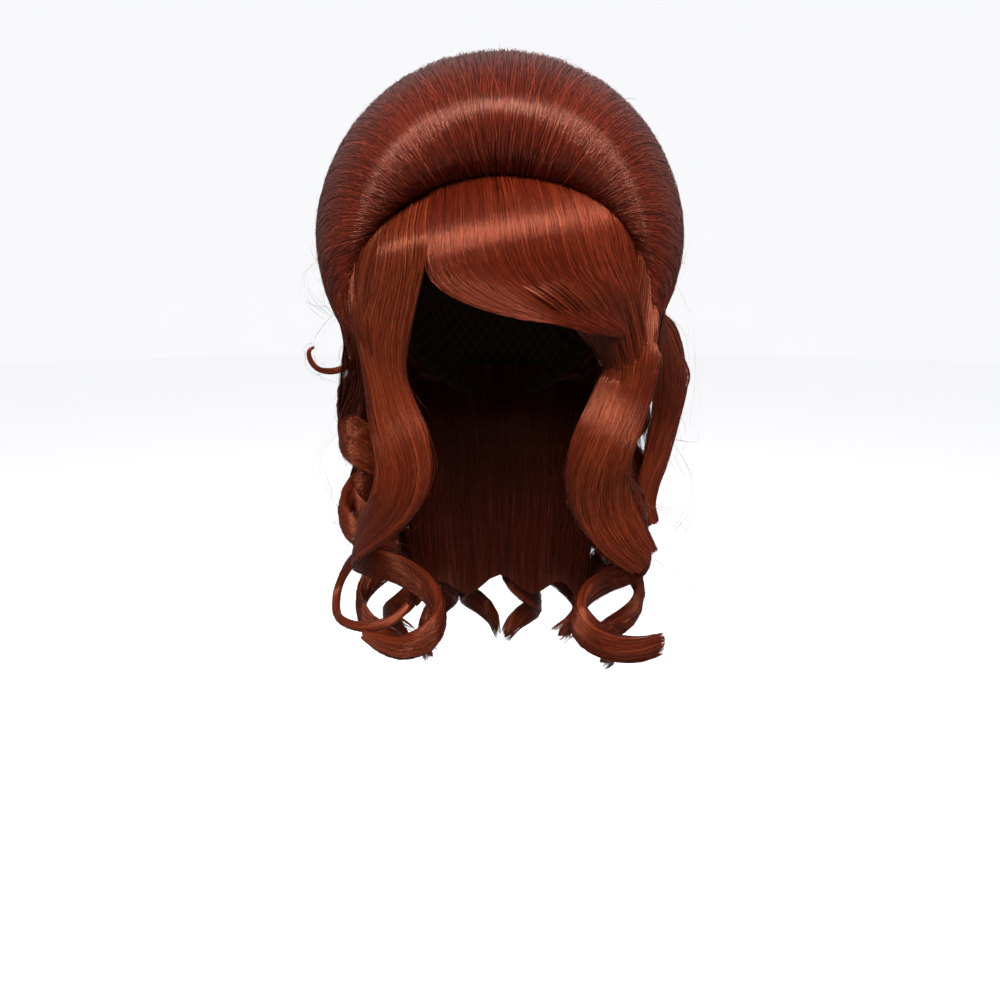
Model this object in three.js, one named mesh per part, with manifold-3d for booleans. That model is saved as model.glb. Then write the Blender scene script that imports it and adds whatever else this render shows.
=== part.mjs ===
// Beehive wig: a stretch cap that carries a teased beehive crown, a swept fringe and a fall of curled
// locks. Millimetres, +Z up, the face looks along -Y. The origin is the top of the head hollow, inside the
// cap. Left and right in a name are as seen from the front.
import * as THREE from "three";
import { mergeVertices } from "three/addons/utils/BufferGeometryUtils.js";
import Module from "manifold-3d";

const wasm = await Module();
wasm.setup();

// Head hollow and cap
const headWidth = 154;
const headDepth = 192;
const headHeight = 210;
const capWall = 2;
const fitGap = 0.35;

// Beehive crown: overall width and depth, and its height from the nape to the summit
const crownWidth = 248;
const crownDepth = 216;
const crownHeight = 236;

// Fringe: the layer of hair, its thin edge, and how far it stands off the cap
const fringeThickness = 6.5;
const fringeEdge = 2.4;
const fringeLoft = 8;

// Loose locks: how far the front and the back ones hang below the top of the head, and the section of one
const frontFall = 300;
const backFall = 400;
const lockWidth = 40;
const lockThickness = 14;

// Coiled ringlets: width and thickness of the band of hair, and the radius that it winds at
const ringletWidth = 37;
const ringletThickness = 9;
const ringletRadius = 13;

// The smooth layer under the back ringlets
const underlayerThickness = 6;
const underlayerFall = 325;

const materials = {
  cap: new THREE.MeshStandardMaterial({ color: 0x3a1a14, roughness: 0.9, metalness: 0 }),
  crown: new THREE.MeshStandardMaterial({ color: 0x6e2d23, roughness: 0.45, metalness: 0 }),
  fringe: new THREE.MeshStandardMaterial({ color: 0x8a3520, roughness: 0.42, metalness: 0 }),
  locks: new THREE.MeshStandardMaterial({ color: 0x8c371e, roughness: 0.42, metalness: 0 }),
};

// Beehive crown, as arched rings from the crease over the fringe, round the front roll and over the top to
// the nape. Each ring is part of an ellipse that leans with its top and stands upright at its feet. centreY
// and topY are shares of crownDepth, centreZ and topZ of crownHeight, half is a share of crownWidth, and
// reach is how many degrees the ring turns down to each side.
const crownRings = [
  { centreY: -0.21, centreZ: -0.41, topY: -0.29, topZ: -0.07, half: 0.39, reach: 93 },
  { centreY: -0.22, centreZ: -0.40, topY: -0.38, topZ: -0.07, half: 0.42, reach: 97 },
  { centreY: -0.20, centreZ: -0.38, topY: -0.44, topZ: -0.01, half: 0.45, reach: 102 },
  { centreY: -0.17, centreZ: -0.34, topY: -0.45, topZ: 0.07, half: 0.475, reach: 108 },
  { centreY: -0.13, centreZ: -0.29, topY: -0.40, topZ: 0.15, half: 0.49, reach: 114 },
  { centreY: -0.09, centreZ: -0.25, topY: -0.28, topZ: 0.22, half: 0.5, reach: 118 },
  { centreY: -0.03, centreZ: -0.22, topY: -0.10, topZ: 0.28, half: 0.5, reach: 121 },
  { centreY: 0.06, centreZ: -0.22, topY: 0.12, topZ: 0.30, half: 0.49, reach: 124 },
  { centreY: 0.15, centreZ: -0.25, topY: 0.33, topZ: 0.24, half: 0.465, reach: 127 },
  { centreY: 0.21, centreZ: -0.31, topY: 0.48, topZ: 0.10, half: 0.45, reach: 129 },
  { centreY: 0.24, centreZ: -0.42, topY: 0.54, topZ: -0.12, half: 0.41, reach: 125 },
  { centreY: 0.26, centreZ: -0.56, topY: 0.51, topZ: -0.45, half: 0.36, reach: 118 },
  { centreY: 0.27, centreZ: -0.64, topY: 0.43, topZ: -0.69, half: 0.31, reach: 95 },
];

// Fringe, as rows from the crease to the tips. Its left side is the parting and then the lower edge, and
// its right side runs down to the temple. X is a share of crownWidth, Z of crownHeight.
const fringeRows = [
  { leftX: -0.16, leftZ: -0.07, rightX: 0.26, rightZ: -0.08 },
  { leftX: -0.165, leftZ: -0.19, rightX: 0.31, rightZ: -0.13 },
  { leftX: -0.165, leftZ: -0.27, rightX: 0.35, rightZ: -0.20 },
  { leftX: -0.13, leftZ: -0.32, rightX: 0.38, rightZ: -0.26 },
  { leftX: -0.05, leftZ: -0.37, rightX: 0.41, rightZ: -0.33 },
  { leftX: 0.05, leftZ: -0.41, rightX: 0.42, rightZ: -0.40 },
  { leftX: 0.14, leftZ: -0.435, rightX: 0.425, rightZ: -0.45 },
  { leftX: 0.22, leftZ: -0.46, rightX: 0.425, rightZ: -0.49 },
];

// Waved locks, one table each, from the root to the tip. x is a share of crownWidth, y of headDepth and z
// of frontFall, width and thick are shares of lockWidth and lockThickness, and face is the way that the flat
// of the lock looks, in degrees from the front towards the right.
const wavedLocks = {
  front_lock_left: [
    { x: -0.22, y: -0.31, z: -0.1, width: 0.9, thick: 0.5, face: -38 },
    { x: -0.262, y: -0.34, z: -0.19, width: 1.3, thick: 0.8, face: -38 },
    { x: -0.292, y: -0.34, z: -0.285, width: 1.2, thick: 0.9, face: -32 },
    { x: -0.305, y: -0.32, z: -0.38, width: 0.85, thick: 1, face: -18 },
    { x: -0.304, y: -0.31, z: -0.46, width: 0.7, thick: 1, face: -6 },
    { x: -0.289, y: -0.31, z: -0.53, width: 0.85, thick: 1, face: 0 },
    { x: -0.264, y: -0.32, z: -0.6, width: 1, thick: 1, face: 0 },
    { x: -0.258, y: -0.32, z: -0.67, width: 1, thick: 0.95, face: 0 },
    { x: -0.295, y: -0.31, z: -0.745, width: 0.85, thick: 0.85, face: 0 },
    { x: -0.363, y: -0.27, z: -0.815, width: 0.65, thick: 0.7, face: -40 },
    { x: -0.421, y: -0.2, z: -0.875, width: 0.55, thick: 0.65, face: -90 },
    { x: -0.406, y: -0.1, z: -0.92, width: 0.55, thick: 0.65, face: -150 },
    { x: -0.322, y: -0.06, z: -0.95, width: 0.6, thick: 0.65, face: -180 },
    { x: -0.235, y: -0.1, z: -0.99, width: 0.62, thick: 0.7, face: -220 },
    { x: -0.188, y: -0.2, z: -1.035, width: 0.62, thick: 0.7, face: -270 },
    { x: -0.211, y: -0.28, z: -1.077, width: 0.6, thick: 0.7, face: -320 },
    { x: -0.282, y: -0.3, z: -1.1, width: 0.5, thick: 0.65, face: -360 },
    { x: -0.353, y: -0.27, z: -1.097, width: 0.4, thick: 0.5, face: -390 },
    { x: -0.404, y: -0.23, z: -1.08, width: 0.2, thick: 0.3, face: -400 },
  ],
  front_lock_right: [
    { x: 0.373, y: -0.2, z: -0.275, width: 0.6, thick: 0.45, face: 0 },
    { x: 0.377, y: -0.24, z: -0.325, width: 0.85, thick: 0.7, face: 0 },
    { x: 0.351, y: -0.29, z: -0.4, width: 0.85, thick: 1, face: 0 },
    { x: 0.336, y: -0.31, z: -0.475, width: 0.9, thick: 1, face: 0 },
    { x: 0.307, y: -0.32, z: -0.54, width: 1.05, thick: 1, face: 0 },
    { x: 0.272, y: -0.33, z: -0.61, width: 1.1, thick: 1, face: 0 },
    { x: 0.264, y: -0.32, z: -0.685, width: 1.15, thick: 1, face: 0 },
    { x: 0.292, y: -0.31, z: -0.755, width: 1.1, thick: 0.95, face: 0 },
    { x: 0.345, y: -0.29, z: -0.825, width: 0.95, thick: 0.85, face: 10 },
    { x: 0.41, y: -0.24, z: -0.893, width: 0.65, thick: 0.55, face: 20 },
  ],
  side_wave_right: [
    { x: 0.426, y: -0.06, z: -0.315, width: 0.5, thick: 0.55, face: 40 },
    { x: 0.455, y: -0.04, z: -0.375, width: 0.75, thick: 0.8, face: 40 },
    { x: 0.48, y: -0.02, z: -0.44, width: 0.75, thick: 0.85, face: 30 },
    { x: 0.496, y: 0, z: -0.507, width: 0.7, thick: 0.85, face: 20 },
    { x: 0.498, y: 0.01, z: -0.57, width: 0.65, thick: 0.85, face: 20 },
    { x: 0.486, y: 0.02, z: -0.632, width: 0.6, thick: 0.85, face: 20 },
    { x: 0.468, y: 0.02, z: -0.688, width: 0.55, thick: 0.8, face: 20 },
    { x: 0.445, y: 0.01, z: -0.74, width: 0.5, thick: 0.7, face: 20 },
    { x: 0.439, y: -0.01, z: -0.795, width: 0.4, thick: 0.6, face: 20 },
    { x: 0.464, y: -0.04, z: -0.837, width: 0.25, thick: 0.4, face: 20 },
  ],
  c_curl_right: [
    { x: 0.325, y: -0.28, z: -0.66, width: 0.4, thick: 0.6, face: 20 },
    { x: 0.372, y: -0.262, z: -0.755, width: 0.55, thick: 0.65, face: 30 },
    { x: 0.421, y: -0.16, z: -0.87, width: 0.55, thick: 0.65, face: 100 },
    { x: 0.403, y: -0.09, z: -0.94, width: 0.55, thick: 0.65, face: 150 },
    { x: 0.332, y: -0.09, z: -0.97, width: 0.55, thick: 0.7, face: 190 },
    { x: 0.259, y: -0.18, z: -0.987, width: 0.55, thick: 0.7, face: 250 },
    { x: 0.224, y: -0.26, z: -1.018, width: 0.55, thick: 0.7, face: 290 },
    { x: 0.247, y: -0.31, z: -1.057, width: 0.55, thick: 0.7, face: 340 },
    { x: 0.321, y: -0.3, z: -1.095, width: 0.55, thick: 0.7, face: 370 },
    { x: 0.409, y: -0.25, z: -1.116, width: 0.55, thick: 0.65, face: 390 },
    { x: 0.483, y: -0.19, z: -1.118, width: 0.5, thick: 0.55, face: 400 },
  ],
  ring_curl_left: [
    { x: -0.425, y: -0.08, z: -0.9, width: 0.3, thick: 0.5, face: -60 },
    { x: -0.487, y: -0.03, z: -0.982, width: 0.2, thick: 0.45, face: -80 },
    { x: -0.5, y: -0.08, z: -1.034, width: 0.17, thick: 0.45, face: -110 },
    { x: -0.474, y: -0.17, z: -1.058, width: 0.17, thick: 0.45, face: -170 },
    { x: -0.396, y: -0.22, z: -1.065, width: 0.2, thick: 0.45, face: -180 },
    { x: -0.316, y: -0.22, z: -1.047, width: 0.2, thick: 0.45, face: -200 },
    { x: -0.272, y: -0.18, z: -1.016, width: 0.12, thick: 0.3, face: -240 },
  ],
  flick_curl_left: [
    { x: -0.415, y: -0.01, z: -0.42, width: 0.15, thick: 0.3, face: 0 },
    { x: -0.435, y: -0.05, z: -0.447, width: 0.12, thick: 0.3, face: 0 },
    { x: -0.478, y: -0.07, z: -0.458, width: 0.12, thick: 0.3, face: 0 },
    { x: -0.514, y: -0.09, z: -0.452, width: 0.1, thick: 0.3, face: 0 },
    { x: -0.533, y: -0.1, z: -0.431, width: 0.1, thick: 0.25, face: 0 },
    { x: -0.535, y: -0.1, z: -0.41, width: 0.07, thick: 0.2, face: 0 },
    { x: -0.522, y: -0.09, z: -0.401, width: 0.05, thick: 0.15, face: 0 },
  ],
};

// Ringlets, coiled round a straight line. turn is how far round the head the ringlet hangs, in degrees from
// the front towards the right. root and tip are shares of backFall, and start is where the coil begins.
// flare widens the coil towards its tip.
const sideRinglet = { turn: -95, root: 0.27, tip: 0.74, turns: 2.7, start: 200, hand: 1, flare: 0.7 };

// Back ringlets: where each one ends, as a share of backFall, and how far the row spreads to each side
const backTips = [0.9, 1, 0.93, 0.97, 0.95, 0.98, 0.94, 0.91];
const backSpread = 74;

// The ringlets hang round the head at these distances outside it, to the side and behind
const ringletStandoff = { side: 25, back: -6 };

const rad = THREE.MathUtils.degToRad;

// The value of one column at a share of the way down a table, on a smooth curve through its rows.
function along(rows, column, share) {
  const last = rows.length - 1;
  const row = Math.min(Math.floor(share * last), last - 1);
  const f = share * last - row;
  const near = (k) => rows[THREE.MathUtils.clamp(row + k, 0, last)][column];
  const [a, b, c, d] = [-1, 0, 1, 2].map(near);
  return b + 0.5 * f * (c - a + f * (2 * a - 5 * b + 4 * c - d + f * (3 * (b - c) + d - a)));
}

// One closed solid from points and triangles, turned so that its faces look outwards.
function solidOf(points, triangles) {
  const make = (faces) =>
    new wasm.Manifold(
      new wasm.Mesh({
        numProp: 3,
        vertProperties: new Float32Array(points.flatMap((p) => p.toArray())),
        triVerts: new Uint32Array(faces.flat()),
      }),
    );
  const solid = make(triangles);
  return solid.volume() > 0 ? solid : make(triangles.map(([a, b, c]) => [a, c, b]));
}

function pointsOf(geometry) {
  const place = geometry.attributes.position;
  const point = (_, i) => new THREE.Vector3().fromBufferAttribute(place, i);
  return Array.from({ length: place.count }, point);
}

function trianglesOf(geometry) {
  const index = Array.from(geometry.index.array);
  return Array.from({ length: index.length / 3 }, (_, i) => index.slice(3 * i, 3 * i + 3));
}

// A closed solid from a three.js geometry.
function solidFrom(geometry) {
  const bare = geometry.deleteAttribute("normal").deleteAttribute("uv");
  const merged = mergeVertices(bare);
  return solidOf(pointsOf(merged), trianglesOf(merged));
}

// The geometry of a solid, for a three.js mesh or to grow it.
function geometryOf(solid) {
  const { vertProperties, triVerts } = solid.getMesh();
  const geometry = new THREE.BufferGeometry();
  geometry.setAttribute("position", new THREE.BufferAttribute(new Float32Array(vertProperties), 3));
  geometry.setIndex(new THREE.BufferAttribute(new Uint32Array(triVerts), 1));
  geometry.computeVertexNormals();
  return geometry;
}

// The same solid with every face moved out by at least the gap that its neighbours keep.
function grown(solid) {
  const geometry = geometryOf(solid);
  const points = pointsOf(geometry);
  const triangles = trianglesOf(geometry);
  const faceOf = (corners) => new THREE.Triangle(...corners.map((i) => points[i]));
  const normals = triangles.map((corners) => faceOf(corners).getNormal(new THREE.Vector3()));
  const outward = points.map(() => new THREE.Vector3());
  const flattest = points.map(() => 1);
  triangles.forEach((corners, t) => corners.forEach((i) => outward[i].add(normals[t])));
  outward.forEach((direction) => direction.normalize());
  triangles.forEach((corners, t) =>
    corners.forEach((i) => (flattest[i] = Math.min(flattest[i], outward[i].dot(normals[t])))),
  );
  const sharpest = 0.15;
  const moved = points.map((point, i) =>
    point.clone().addScaledVector(outward[i], fitGap / Math.max(sharpest, flattest[i])),
  );
  return solidOf(moved, triangles);
}

// A thick patch: the outer and the inner surface over the same grid, joined along their four edges.
function patch(outer, inner, across, down) {
  const points = [];
  for (const surface of [outer, inner])
    for (let j = 0; j <= down; j++)
      for (let i = 0; i <= across; i++) points.push(surface(i / across, j / down));
  const at = (side, i, j) => side * (across + 1) * (down + 1) + j * (across + 1) + i;
  const triangles = [];
  const quad = (a, b, c, d) => triangles.push([a, b, c], [a, c, d]);
  for (let j = 0; j < down; j++)
    for (let i = 0; i < across; i++) {
      quad(at(0, i, j), at(0, i + 1, j), at(0, i + 1, j + 1), at(0, i, j + 1));
      quad(at(1, i, j + 1), at(1, i + 1, j + 1), at(1, i + 1, j), at(1, i, j));
    }
  for (let i = 0; i < across; i++) {
    quad(at(1, i, 0), at(1, i + 1, 0), at(0, i + 1, 0), at(0, i, 0));
    quad(at(0, i, down), at(0, i + 1, down), at(1, i + 1, down), at(1, i, down));
  }
  for (let j = 0; j < down; j++) {
    quad(at(0, 0, j), at(0, 0, j + 1), at(1, 0, j + 1), at(1, 0, j));
    quad(at(1, across, j), at(1, across, j + 1), at(0, across, j + 1), at(0, across, j));
  }
  return solidOf(points, triangles);
}

// A lock: an oval section carried along a path, closed at both ends. path(s) gives the middle, facing(s) the
// way that the flat looks, and width(s) and thick(s) the section. clearance makes it larger all round.
function lock({ path, facing, width, thick }, steps, sides, clearance = 0) {
  const points = [];
  const nearly = 1e-3;
  const tangentAt = (s) => path(Math.min(1, s + nearly)).sub(path(Math.max(0, s - nearly))).normalize();
  for (let i = 0; i <= steps; i++) {
    const s = i / steps;
    const tangent = tangentAt(s);
    const out = facing(s).addScaledVector(tangent, -facing(s).dot(tangent)).normalize();
    const side = tangent.clone().cross(out);
    const nearEnd = THREE.MathUtils.clamp(i, 0.35, steps - 0.35) / steps;
    const end = Math.min(1, 1.6 * Math.sqrt(Math.sin(Math.PI * nearEnd)));
    for (let k = 0; k < sides; k++) {
      const turn = (2 * Math.PI * k) / sides;
      const across = (0.5 * width(s) * end + clearance) * Math.cos(turn);
      const deep = (0.5 * thick(s) * end + clearance) * Math.sin(turn);
      points.push(path(s).addScaledVector(side, across).addScaledVector(out, deep));
    }
  }
  const triangles = [];
  for (let i = 0; i < steps; i++)
    for (let k = 0; k < sides; k++) {
      const [a, b] = [i * sides + k, i * sides + ((k + 1) % sides)];
      triangles.push([a, b, b + sides], [a, b + sides, a + sides]);
    }
  const first = points.push(path(0).addScaledVector(tangentAt(0), -clearance)) - 1;
  const last = points.push(path(1).addScaledVector(tangentAt(1), clearance)) - 1;
  for (let k = 0; k < sides; k++) {
    const next = (k + 1) % sides;
    triangles.push([first, next, k], [last, steps * sides + k, steps * sides + next]);
  }
  return solidOf(points, triangles);
}

// The head form at a distance outside the head hollow: an ellipsoid with its top that far above the origin.
function headForm(outside) {
  const form = new THREE.SphereGeometry(1, 24, 16).rotateX(Math.PI / 2);
  form.scale(headWidth / 2 + outside, headDepth / 2 + outside, headHeight / 2 + outside);
  return solidFrom(form.translate(0, 0, -headHeight / 2));
}

// The cap: a shell round the head hollow, trimmed along the hairline, past the ear tab and round the nape.
function wigCap() {
  const at = (y, z) => [y * headDepth, z * headHeight];
  const edge = new THREE.Shape();
  edge.moveTo(...at(-0.6, -0.18));
  edge.quadraticCurveTo(...at(-0.4, -0.24), ...at(-0.28, -0.4));
  edge.lineTo(...at(-0.18, -0.53));
  edge.lineTo(...at(-0.02, -0.53));
  edge.quadraticCurveTo(...at(0.12, -0.46), ...at(0.24, -0.6));
  edge.lineTo(...at(0.38, -0.76));
  edge.lineTo(...at(0.6, -0.78));
  edge.lineTo(...at(0.6, -1.1));
  edge.lineTo(...at(-0.6, -1.1));
  const width = 1.2 * headWidth;
  const below = new THREE.ExtrudeGeometry(edge, { depth: width, bevelEnabled: false, curveSegments: 4 });
  below.translate(0, 0, -width / 2).rotateX(Math.PI / 2).rotateZ(Math.PI / 2);
  return headForm(capWall).subtract(headForm(0)).subtract(solidFrom(below));
}

// A point on the crown: u runs from the left temple over to the right one, v from the crease to the nape.
function crownPoint(u, v) {
  const row = (column) => along(crownRings, column, v);
  const turn = rad(row("reach")) * (2 * u - 1);
  const rise = Math.cos(turn);
  const lean = Math.max(0, rise) ** 1.4;
  return new THREE.Vector3(
    row("half") * crownWidth * Math.sin(turn),
    THREE.MathUtils.lerp(row("centreY"), row("topY"), lean) * crownDepth,
    THREE.MathUtils.lerp(row("centreZ"), row("topZ"), rise) * crownHeight,
  );
}

// A point drawn in towards the middle of the head until it lies inside the head hollow.
function insideHead(point) {
  const middle = new THREE.Vector3(0, 0, -headHeight / 2);
  const half = new THREE.Vector3(headWidth, headDepth, headHeight).multiplyScalar(0.5);
  const offset = point.clone().sub(middle);
  const depth = offset.clone().divide(half).length();
  return middle.addScaledVector(offset, 0.85 / depth);
}

function crownForm() {
  return patch(crownPoint, (u, v) => insideHead(crownPoint(u, v)), 28, 22);
}

// A point of the fringe: u runs from the parting to the temple, v from the crease to the tips.
function fringePoint(u, v, depth) {
  const side = (left, right, size) =>
    THREE.MathUtils.lerp(along(fringeRows, left, v), along(fringeRows, right, v), u) * size;
  const x = side("leftX", "rightX", crownWidth);
  const z = side("leftZ", "rightZ", crownHeight);
  const standoff = headDepth / 2 + capWall + fringeLoft;
  const half = new THREE.Vector3(0.44 * crownWidth, standoff, 0.495 * crownHeight);
  const rise = (z + headHeight / 2) / half.z;
  const y = -half.y * Math.sqrt(Math.max(0.05, 1 - (x / half.x) ** 2 - rise ** 2));
  const offset = new THREE.Vector3(x, y, z + headHeight / 2);
  return offset.setLength(offset.length() - depth).add(new THREE.Vector3(0, 0, -headHeight / 2));
}

function fringe() {
  const swell = (u) => Math.sqrt(Math.sin(Math.PI * u * 0.75));
  const fullness = (u) => fringeEdge + (fringeThickness - fringeEdge) * swell(u);
  const half = (u) => (fringeThickness - fullness(u)) / 2;
  return patch(
    (u, v) => fringePoint(u, v, half(u)),
    (u, v) => fringePoint(u, v, half(u) + fullness(u)),
    10,
    10,
  );
}

function wavedLock(rows) {
  return {
    path: (s) =>
      new THREE.Vector3(
        along(rows, "x", s) * crownWidth,
        along(rows, "y", s) * headDepth,
        along(rows, "z", s) * frontFall,
      ),
    facing: (s) => {
      const turn = rad(along(rows, "face", s));
      return new THREE.Vector3(Math.sin(turn), -Math.cos(turn), 0);
    },
    width: (s) => along(rows, "width", s) * lockWidth,
    thick: (s) => along(rows, "thick", s) * lockThickness,
  };
}

// A point round the head on the line that the ringlets hang along, drawn in by a distance.
function roundHead(turn, z, inwards = 0) {
  const side = headWidth / 2 + ringletStandoff.side - inwards;
  const back = headDepth / 2 + ringletStandoff.back - inwards;
  return new THREE.Vector3(side * Math.sin(turn), -back * Math.cos(turn), z);
}

function ringlet({ turn, root, tip, turns, start, hand, flare }) {
  const axis = (s) => roundHead(rad(turn), -backFall * THREE.MathUtils.lerp(root, tip, s));
  const angle = (s) => rad(start) + hand * 2 * Math.PI * turns * s;
  const opening = (s) => 0.35 + 0.65 * Math.sin((Math.PI / 2) * Math.min(1, 4 * s));
  const radius = (s) => ringletRadius * opening(s) * (1 + flare * s * s);
  const facing = (s) => new THREE.Vector3(Math.cos(angle(s)), Math.sin(angle(s)), 0);
  return {
    path: (s) => axis(s).addScaledVector(facing(s), radius(s)),
    facing,
    width: (s) => ringletWidth * (0.55 + 0.45 * Math.sin(Math.PI * Math.min(1, 0.25 + s))),
    thick: () => ringletThickness,
  };
}

// The underlayer: a curtain of hair round the back, inside the ringlets, that sways gently in and out.
function backUnderlayer() {
  const spread = rad(62);
  const sway = 3;
  const scallop = 8;
  const surface = (depth) => (u, v) => {
    const turn = Math.PI + spread * (2 * u - 1);
    const hem = scallop * v * Math.cos(6 * Math.PI * u);
    const z = -THREE.MathUtils.lerp(0.35 * backFall, underlayerFall, v) - hem;
    const tuck = THREE.MathUtils.smoothstep(v, 0, 0.4) * (ringletRadius + ringletThickness / 2);
    return roundHead(turn, z, tuck + sway * Math.sin(2.5 * Math.PI * v) + depth);
  };
  return patch(surface(0), surface(underlayerThickness), 16, 8);
}

// The pieces in the order that they are laid. Each is cut back clear of the ones laid before it, and keeps
// its largest part where a neighbour crosses it.
const wig = new THREE.Group();
const laid = [];

function lay(name, whole, room, material) {
  let solid = whole;
  for (const neighbour of laid) solid = solid.subtract(neighbour);
  const bodies = solid.decompose().sort((a, b) => b.volume() - a.volume());
  const mesh = new THREE.Mesh(geometryOf(bodies[0]), material);
  mesh.name = name;
  wig.add(mesh);
  laid.push(room);
}

function layLock(name, shape, steps, sides) {
  const clearance = 2 * fitGap;
  lay(name, lock(shape, steps, sides), lock(shape, steps, sides, clearance), materials.locks);
}

lay("wig_cap", wigCap(), headForm(capWall + fitGap), materials.cap);
lay("beehive_crown", crownForm(), grown(crownForm()), materials.crown);
lay("fringe", fringe(), grown(fringe()), materials.fringe);
for (const [name, rows] of Object.entries(wavedLocks))
  layLock(name, wavedLock(rows), Math.round(2.2 * (rows.length - 1)), 8);
layLock("side_ringlet_left", ringlet(sideRinglet), 30, 6);
lay("back_underlayer", backUnderlayer(), grown(backUnderlayer()), materials.locks);
backTips.forEach((tip, i) => {
  const turn = 180 - backSpread + (2 * backSpread * i) / (backTips.length - 1);
  const root = 0.3 - 0.1 * Math.cos(rad(turn));
  const ring = { turn, root, tip, turns: 2.8, start: 90 + 47 * i, hand: i % 2 ? 1 : -1, flare: 0.2 };
  layLock("back_ringlet_" + (i + 1), ringlet(ring), 30, 6);
});

export default wig;
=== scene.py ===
import math

import bmesh
import bpy
import numpy as np
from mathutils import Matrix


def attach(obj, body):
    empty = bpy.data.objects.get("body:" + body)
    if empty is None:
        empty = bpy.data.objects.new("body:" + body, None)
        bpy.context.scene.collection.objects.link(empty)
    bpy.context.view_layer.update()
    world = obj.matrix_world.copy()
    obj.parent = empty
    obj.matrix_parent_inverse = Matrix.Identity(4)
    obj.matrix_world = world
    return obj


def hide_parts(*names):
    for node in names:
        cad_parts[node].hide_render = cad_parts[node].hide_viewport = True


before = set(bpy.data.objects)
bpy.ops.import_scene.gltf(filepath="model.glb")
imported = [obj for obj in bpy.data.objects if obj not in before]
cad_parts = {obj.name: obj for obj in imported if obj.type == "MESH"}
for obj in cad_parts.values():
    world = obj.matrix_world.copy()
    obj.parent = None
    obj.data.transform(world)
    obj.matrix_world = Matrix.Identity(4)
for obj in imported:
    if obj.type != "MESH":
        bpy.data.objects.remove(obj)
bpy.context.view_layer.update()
mm = 0.001
chance = np.random.default_rng(7)

# Wig cap
# The base that all the hair is sewn to: a stretch net dome, open below, with the wefts stitched round it
# in rows, bound along its edge with a soft elastic band. The first three sizes are those of its hollow.
head_width = 154 * mm
head_depth = 192 * mm
head_height = 210 * mm
cap_wall = 2 * mm
cap_band = 9 * mm
weft_spacing = 12 * mm
weft_relief = 0.3 * mm
band_relief = 0.66 * mm
net_opening = 5 * mm

# The way round the cap, and the way down its inside and up its outside, which the net is scaled by
cap_girth = math.pi * (head_width + head_depth) / 2
cap_meridian = 2 * 190 * mm

# The lower edge of the cap seen from the side, from its front past the ear tab to the nape: y is a share
# of head_depth, z of head_height.
cap_edge = np.array([
    (-0.60, -0.18),
    (-0.46, -0.21),
    (-0.36, -0.28),
    (-0.28, -0.40),
    (-0.18, -0.53),
    (-0.02, -0.53),
    (0.06, -0.50),
    (0.14, -0.51),
    (0.24, -0.60),
    (0.38, -0.76),
    (0.60, -0.78),
])


def linear(hex_colour):
    """An sRGB hex colour as linear red, green, blue and an alpha of 1."""
    channels = np.array([int(hex_colour[i : i + 2], 16) for i in (0, 2, 4)]) / 255
    values = np.where(channels <= 0.04045, channels / 12.92, ((channels + 0.055) / 1.055) ** 2.4)
    return (*values.tolist(), 1.0)


def add_node(tree, kind, inputs, **settings):
    """Adds a node of a kind, sets its properties, and gives each named input a value or a link."""
    made = tree.nodes.new(kind)
    for name, value in settings.items():
        setattr(made, name, value)
    for name, value in inputs.items():
        if isinstance(value, bpy.types.NodeSocket):
            tree.links.new(value, made.inputs[name])
        else:
            made.inputs[name].default_value = value
    return made


def new_material(name):
    """A material with an empty node tree, and the tree."""
    material = bpy.data.materials.new(name)
    material.use_nodes = True
    material.node_tree.nodes.clear()
    return material, material.node_tree


def finish_material(tree, shader):
    """Puts the shader on the surface."""
    add_node(tree, "ShaderNodeOutputMaterial", {"Surface": shader.outputs["BSDF"]})


def unit(vectors):
    """Vectors of any array shape scaled to length 1."""
    return vectors / np.maximum(np.linalg.norm(vectors, axis=-1, keepdims=True), 1e-12)


def make_piece(name, points, quads, flow, material, slot, nodes, weld=False):
    """One smooth mesh on the wig: its points, its four-sided faces, and for each corner of each face a
    place on the flow map, which runs across the hair in u and along it in v. Welding joins the points
    that coincide."""
    mesh = bpy.data.meshes.new(name)
    mesh.vertices.add(len(points))
    mesh.vertices.foreach_set("co", points.astype(np.float32).ravel())
    mesh.loops.add(quads.size)
    mesh.loops.foreach_set("vertex_index", quads.astype(np.int32).ravel())
    mesh.polygons.add(len(quads))
    mesh.polygons.foreach_set("loop_start", np.arange(0, quads.size, 4, dtype=np.int32))
    mesh.update(calc_edges=True)
    for map_name in ("flow", "OFBake"):
        layer = mesh.uv_layers.new(name=map_name)
        layer.uv.foreach_set("vector", flow.astype(np.float32).ravel())
    if weld:
        closed = bmesh.new()
        closed.from_mesh(mesh)
        bmesh.ops.remove_doubles(closed, verts=closed.verts, dist=0.001 * mm)
        closed.to_mesh(mesh)
        closed.free()
    mesh.shade_smooth()
    mesh.materials.append(material)
    piece = bpy.data.objects.new(name, mesh)
    bpy.context.scene.collection.objects.link(piece)
    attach(piece, "root")
    if nodes:
        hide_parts(*nodes)
    return piece


def make_strands(name, points, quads, flow, normals, material, slot, nodes):
    """A piece of flat strands that are shaded as round ones: each point has a normal of its own."""
    piece = make_piece(name, points, quads, flow, material, slot, nodes)
    piece.data.normals_split_custom_set_from_vertices(normals.tolist())


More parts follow.
